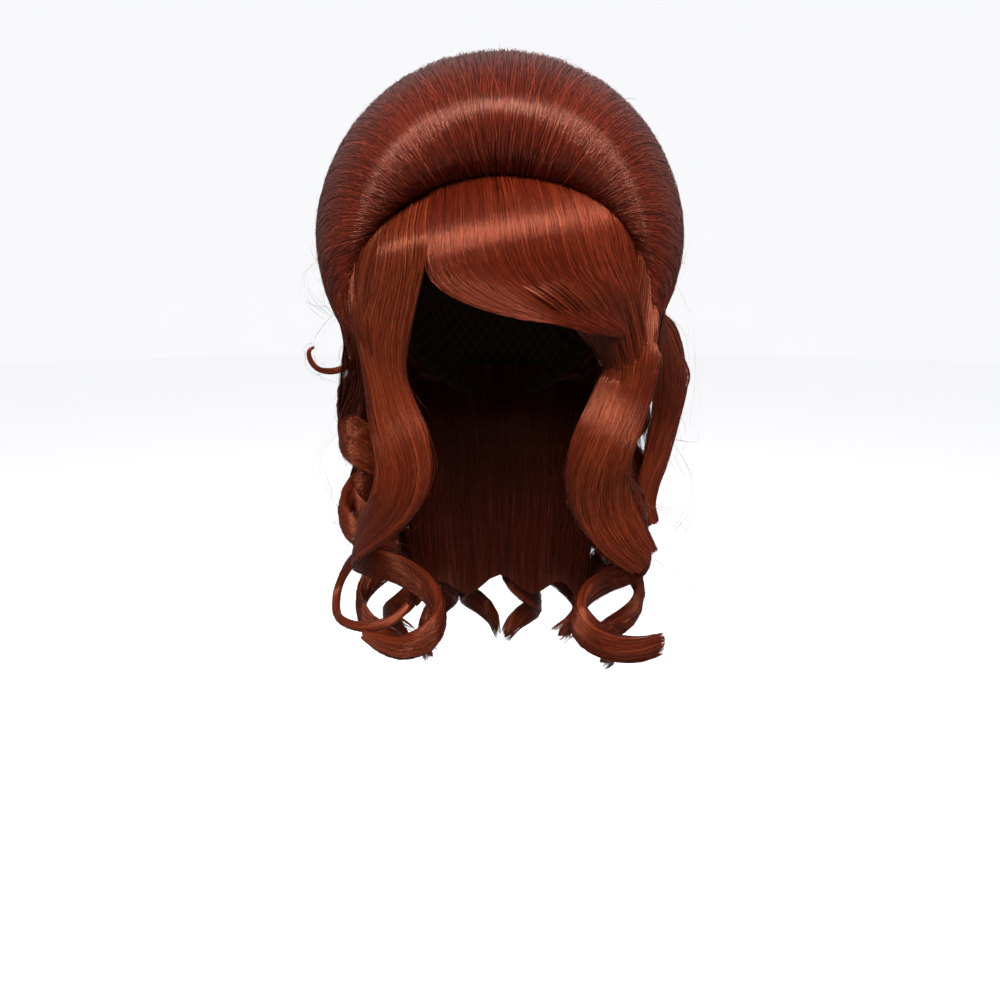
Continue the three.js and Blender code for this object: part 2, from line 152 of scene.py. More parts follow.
def grid_faces(across, down, closed=False):
    """Faces of a grid of points in rows, down + 1 rows of across + 1 points, or of across where the rows
    close, and the corners' places on the flow map, from 0 to 1 both ways."""
    j, i = np.meshgrid(np.arange(down), np.arange(across), indexing="ij")
    row = across if closed else across + 1
    right = (i + 1) % row
    quads = np.stack([j * row + i, j * row + right, (j + 1) * row + right, (j + 1) * row + i], axis=-1)
    u = np.stack([i, i + 1, i + 1, i], axis=-1) / across
    v = np.stack([j, j, j + 1, j + 1], axis=-1) / down
    return quads.reshape(-1, 4), np.stack([u, v], axis=-1).reshape(-1, 4, 2)


def cap_surface(turns, steps):
    """The cap as a closed shell, an ellipsoid inside and out: down the inside from the top to the edge,
    round the edge, and up the outside. Each meridian stops where its side view meets the edge line. The
    band stands out as a round roll and the weft rows as low ridges, the fourth power of a cosine of the
    way down."""
    turn = np.linspace(0, 2 * np.pi, turns, endpoint=False)
    fine = np.linspace(0, np.pi, 2000)
    y = -head_depth / 2 * np.cos(turn)[:, None] * np.sin(fine)
    z = head_height / 2 * (np.cos(fine) - 1) * np.ones_like(y)
    edge = np.interp(y, cap_edge[:, 0] * head_depth, cap_edge[:, 1] * head_height)
    lowest = fine[np.argmax(z < edge, axis=1)]
    rim_down, rim_outside = [1.008, 1.01, 1.008], [0.1, 0.5, 0.9]
    share = np.concatenate([np.linspace(0, 1, steps), rim_down, np.linspace(1, 0, steps)])
    outside = np.concatenate([np.zeros(steps), rim_outside, np.ones(steps)]) * cap_wall
    down = share * lowest[:, None]
    drop = down * (head_depth + head_height) / 4
    to_edge = (lowest[:, None] - down) * (head_depth + head_height) / 4
    ridge = weft_relief * np.maximum(0, np.cos(2 * np.pi * drop / weft_spacing)) ** 4
    band = band_relief * np.clip(1 - np.abs(to_edge / cap_band - 0.5) * 2, 0, 1) ** 0.5
    side = np.where(outside > cap_wall / 2, 1, -1)
    smooth_top = 0.05
    off = outside + side * np.where(to_edge < cap_band, band, ridge) * (down > smooth_top)
    return np.stack(
        [
            (head_width / 2 + off) * np.sin(turn)[:, None] * np.sin(down),
            -(head_depth / 2 + off) * np.cos(turn)[:, None] * np.sin(down),
            (head_height / 2 + off) * np.cos(down) - head_height / 2,
        ],
        axis=-1,
    )


def stretch_net():
    """Knitted nylon stretch net, dark brown and matt: two sets of slanting threads that cross into
    diamonds. The openings are drawn 5 mm wide, about twice the real ones, so that they show."""
    material, tree = new_material("knitted_stretch_net")
    flow = add_node(tree, "ShaderNodeUVMap", {}, uv_map="flow").outputs["UV"]
    place = add_node(tree, "ShaderNodeSeparateXYZ", {"Vector": flow})
    ways = []
    for axis, length in (("X", cap_girth), ("Y", cap_meridian)):
        openings = {0: place.outputs[axis], 1: length / net_opening}
        ways.append(add_node(tree, "ShaderNodeMath", openings, operation="MULTIPLY").outputs[0])
    threads = []
    for lean in ("ADD", "SUBTRACT"):
        slant = add_node(tree, "ShaderNodeMath", {0: ways[0], 1: ways[1]}, operation=lean)
        fold = add_node(tree, "ShaderNodeMath", {0: slant.outputs[0], 1: 1.0}, operation="PINGPONG")
        thread = add_node(tree, "ShaderNodeMath", {0: fold.outputs[0], 1: 3.0}, operation="POWER")
        threads.append(thread.outputs[0])
    net = add_node(tree, "ShaderNodeMath", {0: threads[0], 1: threads[1]}, operation="MAXIMUM").outputs[0]
    colour = add_node(tree, "ShaderNodeMix", {"Factor": net}, data_type="RGBA")
    colour.inputs[6].default_value = linear("120806")
    colour.inputs[7].default_value = linear("3a1d16")
    relief = add_node(tree, "ShaderNodeBump", {"Height": net, "Distance": 0.4 * mm, "Strength": 0.6})
    shader = add_node(
        tree,
        "ShaderNodeBsdfPrincipled",
        {
            "Base Color": colour.outputs[2],
            "Roughness": 0.85,
            "Normal": relief.outputs[0],
            "IOR": 1.53,
            "Specular IOR Level": 0.2,
        },
    )
    finish_material(tree, shader)
    return material


cap_turns, cap_steps = 96, 40
cap_points = cap_surface(cap_turns, cap_steps).transpose(1, 0, 2)
cap_quads, cap_flow = grid_faces(cap_turns, cap_points.shape[0] - 1, closed=True)
cap_material = stretch_net()
cap_mesh = cap_points.reshape(-1, 3), cap_quads, cap_flow
make_piece("cap_net", *cap_mesh, cap_material, "cap_net", ["wig_cap"], weld=True)

# Beehive crown
# Hair combed from a deep crease, out over a fat front roll and back over teased padding to the nape. The
# sides are drawn down and in, where pins hold them. A packed base carries fine strands that lie on it.
crown_width = 248 * mm
crown_depth = 216 * mm
crown_height = 236 * mm
crown_strand_width = (0.26 * mm, 0.44 * mm)

# How far the pins draw each foot of a ring in, as a share of its half width, and the place across the
# ring, from 0 at the top to 1 at the foot, where that begins
pinned_in_left = 0.08
pinned_in_right = 0.10
pinned_from = 0.65

# How strongly the fibre bends light, and how the dye tints the gloss of the packed fibre
fibre_ior = 1.42
dye_tint = (1.0, 0.42, 0.3, 1.0)

# Arched rings from the crease to the nape. Columns: centre y, centre z, top y, top z, half width, and how
# many degrees the ring turns down to each side. Y is a share of crown_depth, z of crown_height, half of
# crown_width.
crown_rings = np.array([
    (-0.21, -0.41, -0.29, -0.07, 0.390, 93),
    (-0.22, -0.40, -0.38, -0.07, 0.420, 97),
    (-0.20, -0.38, -0.44, -0.01, 0.450, 102),
    (-0.17, -0.34, -0.45, 0.07, 0.475, 108),
    (-0.13, -0.29, -0.40, 0.15, 0.490, 114),
    (-0.09, -0.25, -0.28, 0.22, 0.500, 118),
    (-0.03, -0.22, -0.10, 0.28, 0.500, 121),
    (0.06, -0.22, 0.12, 0.30, 0.490, 124),
    (0.15, -0.25, 0.33, 0.24, 0.465, 127),
    (0.21, -0.31, 0.48, 0.10, 0.450, 129),
    (0.24, -0.42, 0.54, -0.12, 0.410, 125),
    (0.26, -0.56, 0.51, -0.45, 0.360, 118),
    (0.27, -0.64, 0.43, -0.69, 0.310, 95),
])


def along(rows, share):
    """A smooth curve through the rows of a table, at shares of the way down it: a uniform Catmull-Rom
    spline."""
    last = len(rows) - 1
    row = np.minimum(np.floor(share * last).astype(int), last - 1)
    f = (share * last - row)[..., None]
    a, b, c, d = (rows[np.clip(row + k, 0, last)] for k in (-1, 0, 1, 2))
    return b + 0.5 * f * (c - a + f * (2 * a - 5 * b + 4 * c - d + f * (3 * (b - c) + d - a)))


def crown_point(across, back):
    """Points on the crown: across runs from -1 at the left foot of a ring to 1 at the right one, and back
    from 0 at the crease to 1 at the nape. The ring is an ellipse that leans with its top and is upright
    at its feet, where pins draw it in, more so on the right."""
    centre_y, centre_z, top_y, top_z, half, reach = np.moveaxis(along(crown_rings, back), -1, 0)
    turn = np.radians(reach) * across
    rise = np.cos(turn)
    lean = np.maximum(0, rise) ** 1.4
    to_foot = np.clip((np.abs(across) - pinned_from) / (1 - pinned_from), 0, 1.2)
    drawn_in = to_foot**2 * np.where(across < 0, pinned_in_left, pinned_in_right)
    x = half * (1 - drawn_in) * crown_width * np.sin(turn)
    y = (centre_y + (top_y - centre_y) * lean) * crown_depth
    z = (centre_z + (top_z - centre_z) * rise) * crown_height
    return np.stack([x, y, z], axis=-1)


def crown_normal(across, back):
    """The direction out of the crown, from the cross product of its two slopes."""
    step = 1e-3
    low, high = np.clip(back - step, 0, 1), np.clip(back + step, 0, 1)
    over = crown_point(across + step, back) - crown_point(across - step, back)
    down = crown_point(across, high) - crown_point(across, low)
    return unit(np.cross(over, down))


def towards_cap(points, outside):
    """Points moved along the line to the middle of the cap's hollow until they lie that far outside the
    hollow."""
    middle = np.array([0, 0, -head_height / 2])
    half = np.array([head_width, head_depth, head_height]) / 2 + outside
    offset = points - middle
    depth = np.linalg.norm(offset / half, axis=-1, keepdims=True)
    return middle + offset / depth


def packed_fibre(name, dark, middle, streak_width, surface_width):
    """Modacrylic fibre, packed tight and combed one way, seen between the strands on top: deep auburn, kept
    darker than the strands as painted shade of the depth beneath them, with fine darker streaks along the
    flow, and shallow grooves between bundles of fibres."""
    material, tree = new_material(name)
    flow = add_node(tree, "ShaderNodeUVMap", {}, uv_map="flow").outputs["UV"]
    streaks = surface_width / streak_width
    stretched = add_node(tree, "ShaderNodeMapping", {"Vector": flow, "Scale": (streaks, 3.0, 1.0)})
    fibres = add_node(
        tree,
        "ShaderNodeTexNoise",
        {"Vector": stretched.outputs["Vector"], "Scale": 1.0, "Detail": 3.0, "Roughness": 0.6},
    )
    colour = add_node(tree, "ShaderNodeValToRGB", {"Fac": fibres.outputs["Fac"]})
    colour.color_ramp.elements[0].position = 0.35
    colour.color_ramp.elements[0].color = linear(dark)
    colour.color_ramp.elements[1].position = 0.7
    colour.color_ramp.elements[1].color = linear(middle)
    relief = add_node(tree, "ShaderNodeBump", {"Height": fibres.outputs["Fac"], "Distance": 0.5 * mm})
    tangent = add_node(tree, "ShaderNodeTangent", {}, direction_type="UV_MAP", uv_map="flow")
    shader = add_node(
        tree,
        "ShaderNodeBsdfPrincipled",
        {
            "Base Color": colour.outputs["Color"],
            "Roughness": 0.5,
            "IOR": fibre_ior,
            "Anisotropic": 0.7,
            "Tangent": tangent.outputs[0],
            "Normal": relief.outputs[0],
            "Specular Tint": dye_tint,
        },
    )
    finish_material(tree, shader)
    return material


def combed_fibre(name, dark, middle, light, gloss, roughness):
    """Modacrylic fibre, drawn fine and heat set: each strand has a shade of its own, and a gloss, tinted
    by the dye, that spreads across the strands and stays narrow along them. Along a strand the shade
    drifts a little."""
    material, tree = new_material(name)
    flow = add_node(tree, "ShaderNodeUVMap", {}, uv_map="flow").outputs["UV"]
    place = add_node(tree, "ShaderNodeMapping", {"Vector": flow, "Scale": (90.0, 9.0, 1.0)})
    noise = {"Vector": place.outputs["Vector"], "Scale": 1.0, "Detail": 1.0}
    drift = add_node(tree, "ShaderNodeTexNoise", noise)
    across = add_node(tree, "ShaderNodeSeparateXYZ", {"Vector": flow}).outputs["X"]
    drift_range = 0.35
    drifting = {0: drift.outputs["Fac"], 1: drift_range, 2: across}
    shade = add_node(tree, "ShaderNodeMath", drifting, operation="MULTIPLY_ADD")
    shade = add_node(tree, "ShaderNodeMath", {0: shade.outputs[0], 1: drift_range / 2}, operation="SUBTRACT")
    colour = add_node(tree, "ShaderNodeValToRGB", {"Fac": shade.outputs[0]})
    stops = colour.color_ramp.elements
    stops[0].position, stops[0].color = 0.1, linear(dark)
    stops[1].position, stops[1].color = 0.9, linear(light)
    stops.new(0.5).color = linear(middle)
    tangent = add_node(tree, "ShaderNodeTangent", {}, direction_type="UV_MAP", uv_map="flow")
    shader = add_node(
        tree,
        "ShaderNodeBsdfPrincipled",
        {
            "Base Color": colour.outputs["Color"],
            "Roughness": roughness,
            "IOR": fibre_ior,
            "Anisotropic": 0.8,
            "Tangent": tangent.outputs[0],
            "Specular IOR Level": 0.8,
            "Specular Tint": linear(gloss),
        },
    )
    finish_material(tree, shader)
    return material


def ribbons(paths, outward, width, shade, blunt=0.25):
    """Strands as ribbons: each point of a path moves half the strand's width to either side. A ribbon
    lies in the surface that faces outward, twists about itself a little by chance, and narrows towards
    its tip, down to a share of its width. Gives points, faces, the flow map, where u holds the strand's
    shade and v runs along it, and normals that lean out at both edges, as they do on a round strand."""
    strands, steps = paths.shape[:2]
    tangent = unit(np.gradient(paths, axis=1))
    side = unit(np.cross(tangent, outward))
    out = np.cross(side, tangent)
    share = np.linspace(0, 1, steps)
    twist = np.sin(2 * np.pi * (share * chance.uniform(0.5, 3, (strands, 1)) + chance.random((strands, 1))))
    roll = (chance.normal(0, 0.22, (strands, 1)) + 0.2 * twist)[..., None]
    across = side * np.cos(roll) + out * np.sin(roll)
    taper = np.minimum(1, blunt + 6 * (1 - share))[None, :, None]
    half = 0.5 * width[:, None, None] * taper * across
    points = np.stack([paths - half, paths + half], axis=2).reshape(-1, 3)
    rounding = 0.9
    facing = out * np.cos(roll) - side * np.sin(roll)
    normals = unit(np.stack([facing - rounding * across, facing + rounding * across], axis=2)).reshape(-1, 3)
    first = (np.arange(strands)[:, None] * steps + np.arange(steps - 1)) * 2
    quads = np.stack([first, first + 1, first + 3, first + 2], axis=-1).reshape(-1, 4)
    edge = 0.002
    u = np.clip(shade, 0.01, 0.99)[:, None, None] + np.array([-edge, edge, edge, -edge])
    u = np.broadcast_to(u, (strands, steps - 1, 4))
    v = np.stack([share[:-1], share[:-1], share[1:], share[1:]], axis=-1)
    flow = np.stack([u, np.broadcast_to(v, u.shape)], axis=-1).reshape(-1, 4, 2)
    return points, quads, flow, normals


def ripple(key, waves, seed):
    """A smooth wandering value for each key: a sum of sine waves of rising frequency and random phase."""
    phases = np.random.default_rng(seed).uniform(0, 2 * np.pi, waves)
    parts = [np.sin(2 * np.pi * (k + 1) * 1.7 * key + phases[k]) / (k + 1) ** 0.5 for k in range(waves)]
    return sum(parts) / waves**0.5


def crown_base(across_steps, back_steps):
    """The crown's packed base: a top a little inside the outer surface, a lining along the cap, and a rim
    between the two. The top's grid is carried straight in to the cap, point by point, for the lining."""
    inset = 1.3 * mm
    across, back = np.meshgrid(np.linspace(-1, 1, across_steps + 1), np.linspace(0, 1, back_steps + 1))
    top = crown_point(across, back) - inset * crown_normal(across, back)
    lining = towards_cap(top, cap_wall + 0.5 * mm)
    quads, flow = grid_faces(across_steps, back_steps)
    row = across_steps + 1
    loop = np.concatenate([
        np.arange(0, across_steps),
        np.arange(0, back_steps) * row + across_steps,
        back_steps * row + np.arange(across_steps, 0, -1),
        np.arange(back_steps, 0, -1) * row,
    ])
    outer, inner = top.reshape(-1, 3)[loop], lining.reshape(-1, 3)[loop]
    rim_steps = 5
    depth = np.linspace(0, 1, rim_steps + 1)[:, None, None]
    rim = outer + (inner - outer) * depth
    rim_quads, rim_flow = grid_faces(len(loop), rim_steps, closed=True)
    count = across.size
    return (
        np.concatenate([top.reshape(-1, 3), lining.reshape(-1, 3), rim.reshape(-1, 3)]),
        np.concatenate([quads, quads[:, ::-1] + count, rim_quads[:, ::-1] + 2 * count]),
        np.concatenate([flow, flow[:, ::-1], rim_flow[:, ::-1]]),
    )


def crown_field(root, share):
    """Where a strand of the crown runs. Each leaves the crease at right angles. In the middle it goes
    over the top to the nape. Towards the sides it turns down to the rim instead, and the outermost ones
    gather at the pins. Root is the strand's place along the crease, from -1 to 1, and share the share of
    its way."""
    size, side = np.abs(root), np.sign(root)
    over_top, to_side = 0.2, 0.5
    pinned = np.interp(size, [over_top, 0.35, to_side, 0.75, 1], [1, 0.6, 0.38, 0.22, 0.1])
    end_across = np.where(size < over_top, root / over_top, side)
    end_back = np.where(size < over_top, 1, pinned)
    turning = np.interp(size, [0, over_top, to_side, 0.7, 1], [1.3, 1.6, 1.4, 0.9, 0.7])
    leaving = np.interp(size, [0, to_side, 0.75, 1], [1.35, 1.35, 1.15, 1.0])
    across = root + (end_across - root) * share**turning
    back = end_back * (1 - np.maximum(0, 1 - share) ** leaving)
    return across, back


def crown_strands(count, steps):
    """The strands that cover the crown, in bundles that stand up or lie low by half a millimetre. Their
    ends run a little past the rim and turn in under it."""
    root = chance.uniform(-1, 1, count)
    crowded = chance.random(count) < 0.45
    root = np.where(crowded, np.sign(root) * (0.12 + 0.43 * np.abs(root)), root)
    share = np.linspace(0, 1, steps)[None]
    start = chance.uniform(0, 0.06, (count, 1))
    across, back = crown_field(root[:, None], start + (1 - start) * share)
    wander = np.sin(2 * np.pi * (share * chance.uniform(1, 5, (count, 1)) + chance.random((count, 1))))
    across = across + 0.005 * wander + chance.normal(0, 0.01, (count, 1)) * share
    back = back + chance.normal(0, 0.012, (count, 1)) * share
    across = across * (1 + chance.uniform(0, 0.05, (count, 1)) * share**4)
    back = np.clip(back * (1 + chance.uniform(0, 0.02, (count, 1)) * share**6), 0, 1.02)
    looser = np.interp(np.abs(root), [0.4, 1], [0.35, 1.25])[:, None]
    bundle = ripple(root[:, None] + 0.05 * share, 24, 3) * looser
    lift = (chance.uniform(-0.7, 0.3, (count, 1)) + 0.6 * bundle + 0.2 * wander) * mm
    normal = crown_normal(across, back)
    paths = crown_point(across, back) + lift[..., None] * normal
    shade = 0.5 + 0.08 * ripple(root, 30, 5) + chance.normal(0, 0.1, count)
    return paths, normal, shade


def crown_wisps(count, steps, height):
    """Short hairs over the crown that cross the others at a slight angle and stand off by up to a height,
    where the combed surface is a little ruffled."""
    root = chance.uniform(-1, 1, (count, 1))
    root = np.where(chance.random((count, 1)) < 0.6, root * 0.55, root)
    window = np.linspace(0, 1, steps)[None]
    from_share = chance.uniform(0.02, 0.85, (count, 1))
    across, back = crown_field(root, from_share + chance.uniform(0.06, 0.2, (count, 1)) * window)
    across = across + chance.normal(0, 0.018, (count, 1)) * window
    back = np.clip(back, 0, 1)
    normal = crown_normal(across, back)
    rise = chance.uniform(0.15, 1, (count, 1)) ** 2 * height * np.sin(np.pi * (0.15 + 0.75 * window))
    return crown_point(across, back) + rise[..., None] * normal, normal, 0.6 + chance.normal(0, 0.2, count)


# The packed base is darker than the strands on it: partly the fibre's own deep colour, partly painted shade
# beneath them.
crown_base_material = packed_fibre("packed_auburn_fibre", "1e0704", "45150b", 0.6 * mm, 560 * mm)
crown_fibre = combed_fibre("combed_dark_auburn_fibre", "240805", "4c160c", "7e301d", "ffac92", 0.31)
make_piece("crown_base", *crown_base(96, 60), crown_base_material, "crown_hair", ["beehive_crown"], weld=True)
crown_paths, crown_out, crown_shade = crown_strands(5600, 19)

# A strand belongs to the side that it is on about halfway along.
halfway = 8
halfway_x = crown_paths[:, halfway, 0]
for side_name, on_side in (("left", halfway_x < 0), ("right", halfway_x >= 0)):
    widths = chance.uniform(*crown_strand_width, on_side.sum())
    strands = ribbons(crown_paths[on_side], crown_out[on_side], widths, crown_shade[on_side])
    make_strands(f"crown_strands_{side_name}", *strands, crown_fibre, "crown_hair", ["beehive_crown"])
for wisp_name, wisp_count, wisp_height, wisp_width in (("ruffled", 1500, 1.2, 0.28), ("loose", 260, 5, 0.16)):
    wisps = crown_wisps(wisp_count, 9, wisp_height * mm)
    wisps = ribbons(*wisps[:2], np.full(wisp_count, wisp_width * mm), wisps[2])
    make_strands(f"crown_{wisp_name}_hairs", *wisps, crown_fibre, "crown_hair", ["beehive_crown"])

# Fringe
# A sheet of hair that leaves the crease, falls down the front and sweeps to the right, where it ends
# behind the front lock. It parts from the left front lock along a short upright line.
fringe_thickness = 6.5 * mm
fringe_loft = 8 * mm
fringe_swell = 9.5 * mm
fringe_strand_width = (0.26 * mm, 0.42 * mm)

# The middle of the cap's hollow, which the fringe and the hair beside it face away from
hollow_middle = np.array([0, 0, -head_height / 2])

# Rows from the crease to the tips. Columns: left x, left z, right x, right z, as shares of the crown's
# sizes.
fringe_rows = np.array([
    (-0.160, -0.070, 0.260, -0.080),
    (-0.165, -0.200, 0.310, -0.130),
    (-0.168, -0.300, 0.350, -0.200),
    (-0.138, -0.352, 0.380, -0.260),
    (-0.058, -0.392, 0.410, -0.330),
    (0.045, -0.420, 0.420, -0.400),
    (0.140, -0.435, 0.425, -0.450),
    (0.220, -0.460, 0.425, -0.490),
])


def fringe_point(across, down, depth):
    """Points of the fringe: across runs from the parting and lower edge to the right edge, down from the
    crease to the tips, on an ellipsoid round the cap that swells under the crease and falls back to it
    below. Depth is how far they lie inside it."""
    left_x, left_z, right_x, right_z = np.moveaxis(along(fringe_rows, down), -1, 0)
    x = (left_x + (right_x - left_x) * across) * crown_width
    z = (left_z + (right_z - left_z) * across) * crown_height + head_height / 2
    half = np.array([0.44 * crown_width, head_depth / 2 + cap_wall + fringe_loft, 0.495 * crown_height])
    y = -half[1] * np.sqrt(np.maximum(0.05, 1 - (x / half[0]) ** 2 - (z / half[2]) ** 2))
    offset = np.stack([x, y, z], axis=-1)
    length = np.linalg.norm(offset, axis=-1)
    swelling = fringe_swell * np.exp(-(((down - 0.15) / 0.25) ** 2)) * np.clip(0.7 + across, 0.4, 1)
    return offset * (1 + (swelling - depth) / length)[..., None] + hollow_middle


def fringe_base(across_steps, down_steps):
    """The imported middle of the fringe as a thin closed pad, with both faces on one grid that folds
    round."""
    down = np.linspace(0, 1, down_steps + 1)
    turn = np.linspace(0, 2 * np.pi, across_steps, endpoint=False)
    across = 0.5 - 0.49 * np.cos(turn)
    depth = fringe_thickness * (0.55 - 0.22 * np.sin(turn))
    across, down = np.meshgrid(across, down)
    points = fringe_point(across, down, np.broadcast_to(depth, across.shape))
    quads, flow = grid_faces(across_steps, down_steps, closed=True)
    return points.reshape(-1, 3), quads[:, ::-1], flow[:, ::-1]


def fringe_strands(count, steps):
    """Strands of the fringe: each keeps its place across the sheet, and lies at its own depth in it."""
    root = chance.uniform(0.01, 1, count)
    share = np.linspace(0, 1, steps)[None]
    across = root[:, None] + chance.normal(0, 0.02, (count, 1)) * share
    bends = share * chance.uniform(0.5, 1.5, (count, 1))
    across += 0.008 * np.sin(2 * np.pi * (bends + chance.random((count, 1))))
    end = chance.uniform(0.9, 1, count)[:, None]
    depth = (0.18 + 0.07 * ripple(root[:, None] + 0.06 * share, 18, 11)) * fringe_thickness
    depth = depth + chance.uniform(-0.12, 0.2, (count, 1)) * fringe_thickness
    paths = fringe_point(np.clip(across, -0.03, 1.01), share * end, depth)
    out = unit(paths - hollow_middle)
    # The shade rises towards the right end of the fringe, with the root squared: painted highlight there. The
    # rest varies at random.
    shade = 0.4 + 0.45 * root**2 + 0.1 * ripple(root, 24, 13) + chance.normal(0, 0.12, count)
    return paths, out, shade


# The packed base is darker than the strands on it: partly the fibre's own deep colour, partly painted shade
# beneath them.
fringe_base_material = packed_fibre("packed_red_auburn_fibre", "200603", "461309", 0.6 * mm, 260 * mm)
fringe_fibre = combed_fibre("combed_red_auburn_fibre", "200703", "451106", "742a17", "ff8e6c", 0.35)
make_piece("fringe_base", *fringe_base(40, 24), fringe_base_material, "fringe_hair", ["fringe"])
fringe_paths, fringe_out, fringe_shade = fringe_strands(3000, 16)
fringe_widths = chance.uniform(*fringe_strand_width, len(fringe_paths))
fringe_ribbons = ribbons(fringe_paths, fringe_out, fringe_widths, fringe_shade)
make_strands("fringe_strands", *fringe_ribbons, fringe_fibre, "fringe_hair", ["fringe"])

# Waved locks
# Long locks in front and at the right side, set in loose waves and coiled at their ends, with blunt cut
# tips, and small free curls between them. Each one is a packed core with its strands laid round it.
front_fall = 300 * mm
lock_width = 40 * mm
lock_thickness = 14 * mm
lock_strand_width = (0.3 * mm, 0.5 * mm)
loose_hair_width = 0.16 * mm

# Columns, from root to tip: x, y and z as shares of crown_width, head_depth and front_fall, width and
# thickness as shares of a lock's, and the way that its flat looks, in degrees from the front towards the
# right.
waved_locks = {
    "front_lock_left": [
        (-0.220, -0.31, -0.100, 0.90, 0.50, -38),
        (-0.262, -0.34, -0.190, 1.30, 0.80, -38),
        (-0.292, -0.34, -0.285, 1.20, 0.90, -32),
        (-0.305, -0.32, -0.380, 0.85, 1.00, -18),
        (-0.304, -0.31, -0.460, 0.70, 1.00, -6),
        (-0.289, -0.31, -0.530, 0.85, 1.00, 0),
        (-0.264, -0.32, -0.600, 1.00, 1.00, 0),
        (-0.258, -0.32, -0.670, 1.00, 0.95, 0),
        (-0.295, -0.31, -0.745, 0.85, 0.85, 0),
        (-0.363, -0.27, -0.815, 0.65, 0.70, -40),
        (-0.421, -0.20, -0.875, 0.55, 0.65, -90),
        (-0.406, -0.10, -0.920, 0.55, 0.65, -150),
        (-0.322, -0.06, -0.950, 0.60, 0.65, -180),
        (-0.235, -0.10, -0.990, 0.62, 0.70, -220),
        (-0.188, -0.20, -1.035, 0.62, 0.70, -270),
        (-0.211, -0.28, -1.077, 0.60, 0.70, -320),
        (-0.282, -0.30, -1.100, 0.50, 0.65, -360),
        (-0.353, -0.27, -1.097, 0.40, 0.50, -390),
        (-0.404, -0.23, -1.080, 0.20, 0.30, -400),
    ],
    "front_lock_right": [
        (0.352, -0.20, -0.275, 0.55, 0.45, 0),
        (0.357, -0.24, -0.325, 0.80, 0.70, 0),
        (0.346, -0.29, -0.400, 0.85, 1.00, 0),
        (0.336, -0.31, -0.475, 0.90, 1.00, 0),
        (0.307, -0.32, -0.540, 1.05, 1.00, 0),
        (0.272, -0.33, -0.610, 1.10, 1.00, 0),
        (0.264, -0.32, -0.685, 1.15, 1.00, 0),
        (0.292, -0.31, -0.755, 1.10, 0.95, 0),
        (0.345, -0.29, -0.825, 0.95, 0.85, 10),
        (0.410, -0.24, -0.893, 0.65, 0.55, 20),
    ],
    "side_wave_right": [
        (0.426, -0.06, -0.315, 0.50, 0.55, 40),
        (0.455, -0.04, -0.375, 0.75, 0.80, 40),
        (0.480, -0.02, -0.440, 0.75, 0.85, 30),
        (0.496, 0.00, -0.507, 0.70, 0.85, 20),
        (0.498, 0.01, -0.570, 0.65, 0.85, 20),
        (0.486, 0.02, -0.632, 0.60, 0.85, 20),
        (0.468, 0.02, -0.688, 0.55, 0.80, 20),
        (0.445, 0.01, -0.740, 0.50, 0.70, 20),
        (0.439, -0.01, -0.795, 0.40, 0.60, 20),
        (0.464, -0.04, -0.837, 0.25, 0.40, 20),
    ],
    "c_curl_right": [
        (0.325, -0.280, -0.660, 0.40, 0.60, 20),
        (0.372, -0.262, -0.755, 0.55, 0.65, 30),
        (0.421, -0.160, -0.870, 0.55, 0.65, 100),
        (0.403, -0.090, -0.940, 0.55, 0.65, 150),
        (0.332, -0.090, -0.970, 0.55, 0.70, 190),
        (0.259, -0.180, -0.987, 0.55, 0.70, 250),
        (0.224, -0.260, -1.018, 0.55, 0.70, 290),
        (0.247, -0.310, -1.057, 0.55, 0.70, 340),
        (0.321, -0.300, -1.095, 0.55, 0.70, 370),
        (0.409, -0.250, -1.116, 0.55, 0.65, 390),
        (0.483, -0.190, -1.118, 0.50, 0.55, 400),
    ],
    "ring_curl_left": [
        (-0.425, -0.08, -0.900, 0.30, 0.50, -60),
        (-0.487, -0.03, -0.982, 0.20, 0.45, -80),
        (-0.500, -0.08, -1.034, 0.17, 0.45, -110),
        (-0.474, -0.17, -1.058, 0.17, 0.45, -170),
        (-0.396, -0.22, -1.065, 0.20, 0.45, -180),
        (-0.316, -0.22, -1.047, 0.20, 0.45, -200),
        (-0.272, -0.18, -1.016, 0.12, 0.30, -240),
    ],
    "flick_curl_left": [
        (-0.415, -0.01, -0.420, 0.15, 0.30, 0),
        (-0.435, -0.05, -0.447, 0.12, 0.30, 0),
        (-0.478, -0.07, -0.458, 0.12, 0.30, 0),
        (-0.514, -0.09, -0.452, 0.10, 0.30, 0),
        (-0.533, -0.10, -0.431, 0.10, 0.25, 0),
        (-0.535, -0.10, -0.410, 0.07, 0.20, 0),
        (-0.522, -0.09, -0.401, 0.05, 0.15, 0),
    ],
}

# Strands and the steps along each, for every waved lock
lock_strands = {
    "front_lock_left": (1200, 44),
    "front_lock_right": (1250, 26),
    "side_wave_right": (700, 24),
    "c_curl_right": (650, 26),
    "ring_curl_left": (260, 24),
    "flick_curl_left": (90, 18),
}
core_share = 0.8

# A lock's size at its root, as a share of its full size: most locks are gathered in there, and the left
# front one spreads along the crease.
gathered_root = 0.3
spread_root = 0.8

# The waves set into the front locks: how far they swing out and in, and how many there are down the lock
set_waves = {
    "front_lock_left": (3.5 * mm, 3.0),
    "front_lock_right": (3.5 * mm, 2.2),
    "side_wave_right": (3 * mm, 1.5),
}


def waved_lock(rows, swing=0, waves=1, samples=200):
    """A waved lock's middle line, the way that its flat looks, its width and its thickness, all down its
    length. The line swings out and in along a sine wave."""
    table = along(np.array(rows), np.linspace(0, 1, samples))
    middle = table[:, :3] * np.array([crown_width, head_depth, front_fall])
    turn = np.radians(table[:, 5])
    facing = np.stack([np.sin(turn), -np.cos(turn), np.zeros(samples)], axis=-1)
    swung = swing * np.sin(2 * np.pi * waves * np.linspace(0, 1, samples))
    middle = middle + swung[:, None] * facing
    return middle, facing, table[:, 3] * lock_width, table[:, 4] * lock_thickness


